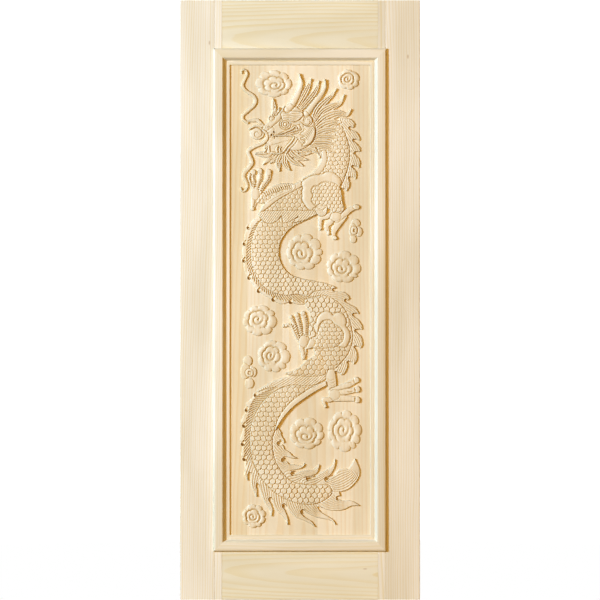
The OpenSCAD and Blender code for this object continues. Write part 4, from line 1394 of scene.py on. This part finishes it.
def make_fleck() -> bpy.types.NodeTree:
    """A small dark mark in the wood: 1 inside an oval round a middle, fading over its rim."""
    graph, given, made = new_group(
        "fleck",
        {"Place": (0.0, 0.0, 0.0), "Middle": (0.0, 0.0, 0.0), "Size": (0.004, 0.02, 0.012)},
        {"Mask": "NodeSocketFloat"},
    )
    away = graph.vector("SUBTRACT", given.outputs["Place"], given.outputs["Middle"])
    share = graph.vector("LENGTH", graph.vector("DIVIDE", away, given.outputs["Size"]))
    graph.feed(made.inputs["Mask"], graph.math("SUBTRACT", 1.0, graph.ramp(share, 0.3, 1.0)))
    return graph.tree


# ---------------------------------------------------------------------------
# Wood
# ---------------------------------------------------------------------------


class GrainWay(Enum):
    """Which way the fibres run."""

    UPRIGHT = "upright"
    LEVEL = "level"


@dataclass(frozen=True)
class Wood:
    """The finish of one kind of board.

    The pith lies beside the board's own grain axis, and the tilt is how far the grain leans off
    it for each metre. Lengths are metres. A stave width of 0 means one board.
    """

    name: str
    pale: Triple
    late: Triple
    way: GrainWay
    pith: Triple
    tilt: Triple
    ring: float
    seed: float
    contrast: float = 0.75
    stave: float = 0.0
    carved: bool = False
    flecks: tuple[Triple, ...] = ()
    roughness: float = 0.58


PALE = (0.800, 0.765, 0.645)
LATE = (0.738, 0.655, 0.425)
HALF_THICKNESS = 0.0175
WOODS = {
    wood.name: wood
    for wood in (
        Wood(
            "pine_stave", PALE, LATE, GrainWay.UPRIGHT,
            pith=(0.02, 0.16, 0), tilt=(0.012, 0.020, 0), ring=0.0072, seed=1.0,
            flecks=((0.360, -HALF_THICKNESS, 1.812), (-0.302, -HALF_THICKNESS, 1.858)),
        ),
        Wood(
            "pine_inner_stave", (0.785, 0.748, 0.620), LATE, GrainWay.UPRIGHT,
            pith=(0.10, 0.30, 0), tilt=(0.006, 0.004, 0), ring=0.0070, seed=5.0,
        ),
        Wood(
            "pine_rail", (0.786, 0.752, 0.590), (0.738, 0.648, 0.385), GrainWay.LEVEL,
            pith=(0.09, 0.035, 0), tilt=(0.02, 0.05, 0), ring=0.0105, seed=9.0,
            flecks=((0.217, -HALF_THICKNESS, 0.103),),
        ),
        Wood(
            "pine_carved", (0.800, 0.730, 0.555), (0.750, 0.620, 0.395), GrainWay.UPRIGHT,
            pith=(0.0, 0.12, 0), tilt=(0.008, 0.010, 0), ring=0.0070, seed=13.0,
            contrast=0.6, stave=0.1175, carved=True,
        ),
        Wood(
            "pine_moulding_upright", (0.800, 0.750, 0.605), LATE, GrainWay.UPRIGHT,
            pith=(0.05, 0.20, 0), tilt=(0.004, 0.006, 0), ring=0.0058, seed=17.0,
        ),
        Wood(
            "pine_moulding_level", (0.795, 0.740, 0.585), LATE, GrainWay.LEVEL,
            pith=(0.05, 0.20, 0), tilt=(0.004, 0.006, 0), ring=0.0058, seed=21.0,
        ),
        Wood(
            "beech_dowel", (0.640, 0.440, 0.270), (0.520, 0.330, 0.180), GrainWay.LEVEL,
            pith=(0.02, 0.10, 0), tilt=(0.002, 0.002, 0), ring=0.0030, seed=25.0,
            roughness=0.5,
        ),
    )
}
# Slow change of tone along a board, and the late wood's share in the fine fibres
LIGHT_TONE = (1.05, 1.05, 1.06, 1)
DARK_TONE = (0.93, 0.91, 0.86, 1)
FIBRE_SHARE = 0.16
FLECK_COLOUR = (0.46, 0.31, 0.15, 1)
FLECK_SHARE = 0.45
FLECK_SIZE = {GrainWay.UPRIGHT: (0.004, 0.02, 0.010), GrainWay.LEVEL: (0.010, 0.02, 0.0028)}
# What the hinge-side board of the panel, the cuts and the dark pockets are multiplied by, all painted shade:
# darker and yellower on the hinge side, warm in the cuts and brown in the pockets
HINGE_SIDE_SHADE_TINT = (0.94, 0.90, 0.80)
HINGE_SIDE_SHADE_SHARE = 0.8
CREVICE_SHADE_TINT = (0.63, 0.475, 0.19)
CREVICE_SHADE_SHARE = 0.75
POCKET_SHADE_TINT = (0.52, 0.38, 0.20)
# From one board of a glued-up panel to the next: the noise, and the place in the trunk
STAVE_SEED = 3.7
STAVE_STEP = {"X": -0.061, "Y": 0.013}
# From the place in the trunk of a level board at the bottom to that of one at the top
UPPER_BOARD = (-1.77, 0.008, 0.37)
BUMP_STRENGTH = 0.35
BUMP_DISTANCE = 0.00012


def level_grain(graph: Graph, where: bpy.types.NodeSocket) -> bpy.types.NodeSocket:
    """Places in a level board, turned so that its grain runs along Z.

    Boards over the door's middle get the rings of another part of the trunk.
    """
    turn = graph.node("ShaderNodeMapping", vector_type="POINT")
    turn.inputs["Rotation"].default_value = (0.0, math.radians(90), 0.0)
    graph.feed(turn.inputs["Vector"], where)
    split = graph.node("ShaderNodeSeparateXYZ")
    graph.feed(split.inputs[0], turn.outputs["Vector"])
    other_part = graph.vector("SCALE", UPPER_BOARD)
    graph.feed(other_part.node.inputs["Scale"], graph.math("GREATER_THAN", split.outputs["X"], 1.0))
    return graph.vector("ADD", turn.outputs["Vector"], other_part)


def stave_number(graph: Graph, grain: bpy.types.NodeSocket, width: float) -> bpy.types.NodeSocket:
    """Number of the board across a glued-up panel, with board 0 centred on X = 0."""
    split = graph.node("ShaderNodeSeparateXYZ")
    graph.feed(split.inputs[0], grain)
    return graph.math("FLOOR", graph.math("ADD", graph.math("DIVIDE", split.outputs["X"], width), 0.5))


def add_flecks(graph: Graph, wood: Wood, fleck: bpy.types.NodeTree, where: Source, colour: Source) -> Source:
    """Small dark marks at the wood's own places."""
    for middle in wood.flecks:
        mark = graph.node("ShaderNodeGroup")
        mark.node_tree = fleck
        graph.feed(mark.inputs["Place"], where)
        mark.inputs["Middle"].default_value = middle
        mark.inputs["Size"].default_value = FLECK_SIZE[wood.way]
        colour = graph.mix(graph.math("MULTIPLY", mark.outputs["Mask"], FLECK_SHARE), colour, FLECK_COLOUR)
    return colour


def make_wood(wood: Wood, rings: bpy.types.NodeTree, fleck: bpy.types.NodeTree) -> bpy.types.Material:
    """Bare, sanded wood.

    Colour: pale early wood to late wood by the growth rings, with a slow change of tone, fine
    fibres and flecks. A glued-up panel steps its rings from board to board, and its hinge-side
    board is painted darker and yellower for the shade on that side. A carved one has painted
    shade in its colour: warmer and darker in its hollows, by the "hollow" attribute from 0 to 1,
    and brown in its deep pockets, where the attribute goes on to 2; both stand in for the shade
    that falls there. Fibres and rings give the bump, and the harder late wood is a little smoother.
    """
    material = bpy.data.materials.new(f"{wood.name}_wood")
    graph = fresh_graph(material)
    where = graph.node("ShaderNodeTexCoord").outputs["Object"]
    grain = level_grain(graph, where) if wood.way is GrainWay.LEVEL else where
    seed: Source = wood.seed
    if wood.stave:
        number = stave_number(graph, grain, wood.stave)
        seed = graph.math("ADD", graph.math("MULTIPLY", number, STAVE_SEED), wood.seed)
        step = graph.node("ShaderNodeCombineXYZ")
        for axis, amount in STAVE_STEP.items():
            graph.feed(step.inputs[axis], graph.math("MULTIPLY", number, amount))
        grain = graph.vector("ADD", grain, step.outputs[0])
    group = graph.node("ShaderNodeGroup")
    group.node_tree = rings
    graph.feed(group.inputs["Place"], grain)
    graph.feed(group.inputs["Seed"], seed)
    group.inputs["Pith"].default_value = wood.pith
    group.inputs["Tilt"].default_value = wood.tilt
    group.inputs["Ring Width"].default_value = wood.ring
    late, tone, fibre = (group.outputs[label] for label in ("Late Wood", "Tone", "Fibre"))
    colour = graph.mix(graph.math("MULTIPLY", late, wood.contrast), (*wood.pale, 1), (*wood.late, 1))
    tones = graph.mix(graph.ramp(tone, 0.3, 0.7), LIGHT_TONE, DARK_TONE)
    colour = graph.mix(1.0, colour, tones, "MULTIPLY")
    fibre_share = graph.math("MULTIPLY", graph.ramp(fibre, 0.45, 0.75), FIBRE_SHARE)
    colour = graph.mix(fibre_share, colour, (*wood.late, 1))
    colour = add_flecks(graph, wood, fleck, where, colour)
    if wood.stave:
        # Painted shade: the hinge-side board is tinted darker and yellower, for the shade that falls on that
        # side of the panel
        hinge_side = graph.math("LESS_THAN", number, -1.5)
        colour = graph.tint(graph.math("MULTIPLY", hinge_side, HINGE_SIDE_SHADE_SHARE), colour, HINGE_SIDE_SHADE_TINT)
    if wood.carved:
        # Painted shade: the cuts and valleys are tinted warmer and darker, and the deep pockets brown, where
        # shade falls in them
        hollow = graph.node("ShaderNodeAttribute", attribute_name="hollow").outputs["Fac"]
        colour = graph.tint(graph.math("MULTIPLY", hollow, CREVICE_SHADE_SHARE), colour, CREVICE_SHADE_TINT)
        colour = graph.tint(graph.math("SUBTRACT", hollow, 1.0), colour, POCKET_SHADE_TINT)
    bump = graph.node("ShaderNodeBump")
    bump.inputs["Strength"].default_value = BUMP_STRENGTH
    bump.inputs["Distance"].default_value = BUMP_DISTANCE
    grooves = graph.math("ADD", graph.math("MULTIPLY", fibre, 0.7), graph.math("MULTIPLY", late, 0.8))
    graph.feed(bump.inputs["Height"], grooves)
    roughness = graph.math("SUBTRACT", wood.roughness, graph.math("MULTIPLY", late, 0.10))
    surface = graph.node("ShaderNodeBsdfPrincipled")
    surface.inputs["Specular IOR Level"].default_value = 0.35
    graph.feed(surface.inputs["Base Color"], colour)
    graph.feed(surface.inputs["Roughness"], roughness)
    graph.feed(surface.inputs["Normal"], bump.outputs["Normal"])
    graph.feed(graph.node("ShaderNodeOutputMaterial").inputs["Surface"], surface.outputs[0])
    return material


# ---------------------------------------------------------------------------
# Meshes
# ---------------------------------------------------------------------------


def add_object(name: str, data: bpy.types.ID) -> bpy.types.Object:
    """Makes an object of some mesh, light or camera, and puts it in the scene."""
    made = bpy.data.objects.new(name, data)
    bpy.context.scene.collection.objects.link(made)
    return made


def add_piece(
    name: str, vertices: np.ndarray, faces: Sequence[Sequence[int]], material: bpy.types.Material
) -> bpy.types.Object:
    """Makes a piece that rides on the leaf, from vertices in metres."""
    mesh = bpy.data.meshes.new(name)
    mesh.from_pydata(vertices.tolist(), [], faces)
    mesh.materials.append(material)
    piece = add_object(name, mesh)
    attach(piece, "root")
    return piece


def carve_field(low: Point, high: Point, step: float) -> Relief:
    """Carves the dragon on a field between two corners, on cells of the given width.

    The height is brought to nothing over the last millimetres at the border, which lies
    under the moulding.
    """
    columns = int(round((high[0] - low[0]) / step)) + 1
    rows = int(round((high[1] - low[1]) / step)) + 1
    relief = Relief(np.linspace(low[0], high[0], columns), np.linspace(low[1], high[1], rows))
    carve_dragon(relief)
    edge_x = np.minimum(relief.x - low[0], high[0] - relief.x)[None, :]
    edge_z = np.minimum(relief.z - low[1], high[1] - relief.z)[:, None]
    relief.height *= np.clip(np.minimum(edge_x, edge_z) / 2, 0, 1)
    return relief


# Painted shade in cuts and valleys: width looked over, passes of the mean, depth that counts in full, and
# share
SHADE_REACHES = ((1.2, 3, 0.75, 0.8), (4.0, 2, 2.5, 0.3))


def painted_shade_map(height: np.ndarray, step: float) -> np.ndarray:
    """How far each place lies below its surroundings, from 0 to 1, for cuts and for valleys, as painted
    shade.
    """
    total = np.zeros(height.shape)
    for width, passes, depth, share in SHADE_REACHES:
        below = box_mean(height, max(1, round(width / step)), passes) - height
        total += share * np.clip(below / depth, 0, 1)
    return np.clip(total, 0, 1)


# Places closer than this, in metres, are the same
SAME_PLACE = 1e-5
# Edges that turn by more than this are shaded sharp
STAVE_SHARP = math.radians(80)
MOULDING_SHARP = math.radians(28)


def stave_mesh(
    relief: Relief, columns: slice, body: tuple[Vector, Vector], tongue: tuple[Vector, Vector]
) -> tuple[np.ndarray, list[list[int]]]:
    """A closed stave of the panel whose front is a strip of the relief.

    The strip's border leads to the four corners of the stave's face, and rings of four corners
    lead on from there round the tongue to the plain back. A side where two staves are glued
    is flat and follows the relief.

    Args:
        relief: The carved field, in millimetres.
        columns: The strip's columns of the field.
        body: Lowest and highest corner of the stave without its tongue.
        tongue: Lowest and highest corner of the tongue.

    Returns:
        Vertices in metres, and faces.
    """
    height = relief.height[:, columns]
    rows, count = height.shape
    x, z = np.meshgrid(relief.x[columns] * MM, relief.z * MM)
    sheet = np.stack([x, body[0].y - height * MM, z], axis=-1).reshape(-1, 3)
    index = np.arange(rows * count).reshape(rows, count)
    corners = (index[:-1, :-1], index[:-1, 1:], index[1:, 1:], index[1:, :-1])
    faces = np.stack(corners, axis=-1).reshape(-1, 4).tolist()
    levels = (
        (body, body[0].y),
        (body, tongue[0].y),
        (tongue, tongue[0].y),
        (tongue, tongue[1].y),
        (body, tongue[1].y),
        (body, body[1].y),
    )
    rings = [
        [(low.x, y, low.z), (high.x, y, low.z), (high.x, y, high.z), (low.x, y, high.z)]
        for (low, high), y in levels
    ]
    vertices = np.vstack([sheet, np.array(rings).reshape(-1, 3)])
    start = rows * count
    corner = [[start + 4 * k + j for j in range(4)] for k in range(len(rings))]
    borders = (index[0, :], index[:, -1], index[-1, ::-1], index[::-1, 0])
    glued = (
        False,
        abs(x[0, -1] - body[1].x) < SAME_PLACE,
        False,
        abs(x[0, 0] - body[0].x) < SAME_PLACE,
    )
    for j, border in enumerate(borders):
        k = (j + 1) % 4
        if glued[j]:
            far = [ring[k] for ring in corner] + [ring[j] for ring in corner[::-1]]
            faces.append([*border.tolist(), *far][::-1])
            continue
        faces.append([corner[0][j], corner[0][k], *border[::-1].tolist()])
        for near, far in zip(corner[:-1], corner[1:]):
            faces.append([near[k], near[j], far[j], far[k]])
    faces.append(corner[-1][::-1])
    return vertices, faces


def bake_modifiers(piece: bpy.types.Object) -> None:
    """Replaces a piece's mesh by what its modifiers make of it."""
    depsgraph = bpy.context.evaluated_depsgraph_get()
    made = bpy.data.meshes.new_from_object(piece.evaluated_get(depsgraph))
    made.name = piece.data.name
    piece.modifiers.clear()
    before = piece.data
    piece.data = made
    bpy.data.meshes.remove(before)


def thin_out(piece: bpy.types.Object, triangles: int) -> None:
    """Collapses a mesh to about this many triangles, where it is flattest first."""
    piece.data.calc_loop_triangles()
    collapse = piece.modifiers.new("thin_out", "DECIMATE")
    collapse.ratio = min(1.0, triangles / len(piece.data.loop_triangles))
    bake_modifiers(piece)


def vertex_places(mesh: bpy.types.Mesh) -> np.ndarray:
    """The mesh's vertices as an (n, 3) array."""
    place = np.zeros(len(mesh.vertices) * 3, np.float32)
    mesh.vertices.foreach_get("co", place)
    return place.reshape(-1, 3)


def shade_stave(piece: bpy.types.Object, glue_lines: Sequence[float]) -> None:
    """Shades a stave smooth, but sharp round its glued sides, and keeps large faces flat.

    Normals are averaged by the area of the faces, so a wide flat face isn't bent by the steep
    small ones at the foot of the carving.
    """
    mesh = piece.data
    mesh.shade_smooth()
    mesh.set_sharp_from_angle(angle=STAVE_SHARP)
    across = vertex_places(mesh)[:, 0]
    glued = np.zeros(len(across), bool)
    for x in glue_lines:
        glued |= np.abs(across - x) < SAME_PLACE
    ends = np.zeros(len(mesh.edges) * 2, np.int32)
    mesh.edges.foreach_get("vertices", ends)
    sharp = np.zeros(len(mesh.edges), bool)
    layer = mesh.attributes.get("sharp_edge") or mesh.attributes.new("sharp_edge", "BOOLEAN", "EDGE")
    layer.data.foreach_get("value", sharp)
    sharp |= glued[ends].reshape(-1, 2).all(axis=1)
    layer.data.foreach_set("value", sharp)
    weigh = piece.modifiers.new("weigh_normals", "WEIGHTED_NORMAL")
    weigh.keep_sharp = True
    bake_modifiers(piece)


def store_painted_shade(piece: bpy.types.Object, relief: Relief) -> None:
    """Writes the painted shade of the cuts and the pockets to the mesh, read at each vertex by its X and Z.
    """
    place = vertex_places(piece.data) / MM
    column, row = (
        np.clip(np.rint((place[:, axis] - grid[0]) / relief.step).astype(int), 0, len(grid) - 1)
        for axis, grid in ((0, relief.x), (2, relief.z))
    )
    hollow = np.maximum(painted_shade_map(relief.height, relief.step), relief.pocket_shade)
    hollow = (hollow * (relief.height > LEAST_HEIGHT))[row, column]
    front = place[:, 1] < 0
    layer = piece.data.attributes.new("hollow", "FLOAT", "POINT")
    layer.data.foreach_set("value", (hollow * front).astype(np.float32))


@dataclass
class CarvedPanel:
    """The loose panel in the middle of the leaf, glued up from staves and carved as one.

    The cell is in millimetres, and the other lengths are metres: half the tongue's thickness,
    the play at the frame, and how far the mouldings cover the border.
    """

    wood: bpy.types.Material
    cell: float = 1.0
    staves: int = 4
    triangles: int = 180_000
    tongue: float = 0.0061
    play: float = 0.001
    cover: float = 0.024

    def build(self) -> list[bpy.types.Object]:
        """Carves the whole panel, then makes and thins each stave."""
        low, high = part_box("carved_panel")
        side = -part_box("hinge_stile_inner_stave")[1].x - self.play
        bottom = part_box("bottom_rail")[1].z + self.play
        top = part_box("top_rail")[0].z - self.play
        field_low = ((self.cover - side) / MM, (bottom + self.cover) / MM)
        field_high = ((side - self.cover) / MM, (top - self.cover) / MM)
        relief = carve_field(field_low, field_high, self.cell)
        cuts = np.rint(np.linspace(0, len(relief.x) - 1, self.staves + 1)).astype(int)
        pieces = []
        for number, (first, last) in enumerate(zip(cuts[:-1], cuts[1:])):
            left = first == 0
            right = last == len(relief.x) - 1
            x0, x1 = relief.x[first] * MM, relief.x[last] * MM
            body = (
                Vector((-side if left else x0, -high.y, bottom)),
                Vector((side if right else x1, high.y, top)),
            )
            tongue = (
                Vector((low.x if left else x0, -self.tongue, low.z)),
                Vector((high.x if right else x1, self.tongue, high.z)),
            )
            vertices, faces = stave_mesh(relief, slice(first, last + 1), body, tongue)
            name = f"carved_panel_stave_{number + 1}"
            piece = add_piece(name, vertices, faces, self.wood)
            thin_out(piece, self.triangles)
            shade_stave(piece, (x0, x1))
            store_painted_shade(piece, relief)
            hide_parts("carved_panel")
            LOG.info("%s: %d faces", name, len(piece.data.polygons))
            pieces.append(piece)
        return pieces


@dataclass(frozen=True)
class Moulding:
    """The planted moulding: a lap on the frame, a crown, a curved slope and a ledge."""

    lap: float = 0.029
    slope: float = 0.013
    ledge: float = 0.013
    crown: float = 0.009
    drop: float = 0.002
    seat: float = 0.0002
    foot: float = -0.0063
    nose: float = 0.007
    crevice: float = 0.0012
    crevice_width: float = 0.0008
    arris: float = 0.0016

    def section(self) -> list[Point]:
        """The section as (u, v): u into the opening from its edge, v out from the frame's face.

        A quarter round rises to the crown, a half cosine falls to the crevice at the slope's
        foot, and a ledge with a rounded arris ends over the panel.
        """
        nose = [
            (-self.lap + self.nose * (1 - math.cos(a)), self.crown - self.nose * (1 - math.sin(a)))
            for a in np.linspace(0, math.pi / 2, 9)
        ]
        fall = self.crown + self.drop + self.crevice
        slope = [
            (self.slope * t, self.crown - fall * (1 - math.cos(math.pi * t)) / 2)
            for t in np.linspace(0, 1, 17)
        ]
        reach = self.slope + self.ledge
        edge = [
            (reach - self.arris * (1 - math.sin(a)), -self.drop - self.arris * (1 - math.cos(a)))
            for a in np.linspace(0, math.pi / 2, 6)
        ]
        back = [(reach, self.foot), (self.seat, self.foot), (self.seat, 0.0), (0.0, 0.0)]
        return [(-self.lap, 0.0), *nose, *slope, (self.slope + self.crevice_width, -self.drop), *edge, *back]

    def run(
        self, node: str, material: bpy.types.Material, slot: str, upright: bool, low_side: bool, front: bool
    ) -> bpy.types.Object:
        """One mitred length, beside the opening's low or high edge, on the front or the back."""
        side = -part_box("hinge_stile_inner_stave")[1].x
        bottom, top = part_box("bottom_rail")[1].z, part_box("top_rail")[0].z
        face = -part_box("hinge_stile_outer_stave")[0].y
        section = self.section()
        ends = []
        for far in (False, True):
            ring = []
            for u, v in section:
                y = -(face + v) if front else face + v
                if upright:
                    x = -side + u if low_side else side - u
                    z = top - u if far else bottom + u
                else:
                    x = side - u if far else -side + u
                    z = bottom + u if low_side else top - u
                ring.append((x, y, z))
            ends.append(ring)
        n = len(section)
        faces = [[k, (k + 1) % n, n + (k + 1) % n, n + k] for k in range(n)]
        faces += [list(range(n))[::-1], list(range(n, 2 * n))]
        if upright ^ low_side ^ front:
            faces = [f[::-1] for f in faces]
        piece = add_piece(f"{node}_run", np.array(ends).reshape(-1, 3), faces, material)
        piece.data.shade_smooth()
        piece.data.set_sharp_from_angle(angle=MOULDING_SHARP)
        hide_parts(node)
        return piece


# ---------------------------------------------------------------------------
# Stage
# ---------------------------------------------------------------------------


KEY_PLACE = (-6.2, -4.9, 2.45)
KEY_AIM = (6.2, 4.9, -1.45)
KEY_SIZE = 2.0
KEY_POWER = 1010
COOL_KEY = (0.46, 0.675, 1.0)
AMBER_FILL = (1.0, 0.60, 0.145)
WARM_BACK = (1.0, 0.94, 0.86)
WARM_ROOM = (1.0, 0.70, 0.36, 1)
ROOM_POWER = 0.12
WHITE = (1.0, 1.0, 1.0, 1)
CAMERA_DISTANCE = 12.0
# Lightens the middle tones a little
VIEW_GAMMA = 0.78


def add_sun(name: str, towards: Vector, power: float, spread: float, colour: Triple) -> None:
    """A far light that shines along a direction, with soft shadows by its angular spread."""
    lamp = bpy.data.lights.new(name, "SUN")
    lamp.energy = power
    lamp.angle = math.radians(spread)
    lamp.color = colour
    holder = add_object(name, lamp)
    holder.rotation_mode = "QUATERNION"
    holder.rotation_quaternion = towards.to_track_quat("-Z", "Y")


def set_lights() -> None:
    """A cool key that grazes the door from the left and above, an amber fill, and a back light."""
    key = bpy.data.lights.new("key", "AREA")
    key.shape = "DISK"
    key.size = KEY_SIZE
    key.energy = KEY_POWER
    key.color = COOL_KEY
    holder = add_object("key", key)
    holder.location = KEY_PLACE
    holder.rotation_euler = Vector(KEY_AIM).to_track_quat("-Z", "Y").to_euler()
    holder.visible_camera = False
    add_sun("fill", Vector((-0.10, 1.0, -0.05)), 1.78, 60, AMBER_FILL)
    add_sun("back_light", Vector((-0.45, -0.9, -0.35)), 3.3, 30, WARM_BACK)


def set_room() -> None:
    """A faint warm room that lights the door, and reads white to the camera."""
    world = bpy.data.worlds.new("surroundings")
    bpy.context.scene.world = world
    graph = fresh_graph(world)
    seen = graph.node("ShaderNodeLightPath").outputs["Is Camera Ray"]
    shade = graph.node("ShaderNodeBackground")
    graph.feed(shade.inputs["Color"], graph.mix(seen, WARM_ROOM, WHITE))
    graph.feed(shade.inputs["Strength"], graph.math("ADD", ROOM_POWER, seen))
    graph.feed(graph.node("ShaderNodeOutputWorld").inputs["Surface"], shade.outputs[0])


def set_camera() -> None:
    """A long lens straight on, with the door's height just filling the picture."""
    low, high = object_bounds()
    height = high.z - low.z
    lens = bpy.data.cameras.new("camera")
    lens.sensor_width = 36.0
    lens.lens = lens.sensor_width * CAMERA_DISTANCE / height
    lens.clip_end = 100.0
    camera = add_object("camera", lens)
    camera.location = (0.0, low.y - CAMERA_DISTANCE, (low.z + high.z) / 2)
    camera.rotation_euler = (math.radians(90), 0.0, 0.0)
    bpy.context.scene.camera = camera


def set_floor() -> None:
    """A white floor under the door, which isn't part of it and casts nothing on it."""
    material = bpy.data.materials.new("studio_floor")
    graph = fresh_graph(material)
    glow = graph.node("ShaderNodeEmission")
    graph.feed(graph.node("ShaderNodeOutputMaterial").inputs["Surface"], glow.outputs[0])
    mesh = bpy.data.meshes.new("studio_floor")
    sides, radius = 48, 3.0
    turns = np.linspace(0, math.tau, sides, endpoint=False)
    ring = [(radius * math.cos(a), radius * math.sin(a), 0.0) for a in turns]
    mesh.from_pydata(ring, [], [list(range(sides))])
    mesh.materials.append(material)
    floor = add_object("studio_floor", mesh)
    floor.visible_diffuse = False
    floor.visible_glossy = False
    floor.visible_shadow = False
    floor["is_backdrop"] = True


# ---------------------------------------------------------------------------
# The door
# ---------------------------------------------------------------------------

FINISH_OF = {
    "outer_stave": "pine_stave",
    "inner_stave": "pine_inner_stave",
    "rail": "pine_rail",
    "dowel": "beech_dowel",
    "moulding_hinge_side": "pine_moulding_upright",
    "moulding_lock_side": "pine_moulding_upright",
    "moulding_top": "pine_moulding_level",
    "moulding_bottom": "pine_moulding_level",
    "panel": "pine_carved",
}


def finish_frame(nodes: dict[str, bpy.types.Object], materials: dict[str, bpy.types.Material]) -> None:
    """Gives every construction piece its wood."""
    for name, node in nodes.items():
        wood = next(finish for part, finish in FINISH_OF.items() if part in name)
        node.data.materials.clear()
        node.data.materials.append(materials[wood])


def plant_mouldings(materials: dict[str, bpy.types.Material]) -> None:
    """Both mitred frames of moulding, four lengths to each face."""
    moulding = Moulding()
    for front in (True, False):
        face = "front" if front else "back"
        for place, upright, low_side in (
            ("hinge_side", True, True),
            ("lock_side", True, False),
            ("bottom", False, True),
            ("top", False, False),
        ):
            node = f"{face}_moulding_{place}"
            slot = FINISH_OF[f"moulding_{place}"]
            moulding.run(node, materials[slot], slot, upright, low_side, front)


def main() -> None:
    """Builds the door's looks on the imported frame."""
    logging.basicConfig(level=logging.INFO, format="%(name)s: %(message)s")
    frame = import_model()
    rings, fleck = make_growth_rings(), make_fleck()
    materials = {name: make_wood(wood, rings, fleck) for name, wood in WOODS.items()}
    finish_frame(frame["nodes"], materials)
    LOG.info("finished %d construction pieces", len(frame["nodes"]))
    plant_mouldings(materials)
    LOG.info("planted the mouldings")
    staves = CarvedPanel(materials["pine_carved"]).build()
    LOG.info("carved the panel in %d staves", len(staves))
    set_floor()
    set_lights()
    set_room()
    set_camera()
    bpy.context.scene.view_settings.view_transform = "Standard"
    bpy.context.scene.view_settings.gamma = VIEW_GAMMA


if __name__ == "__main__":
    main()
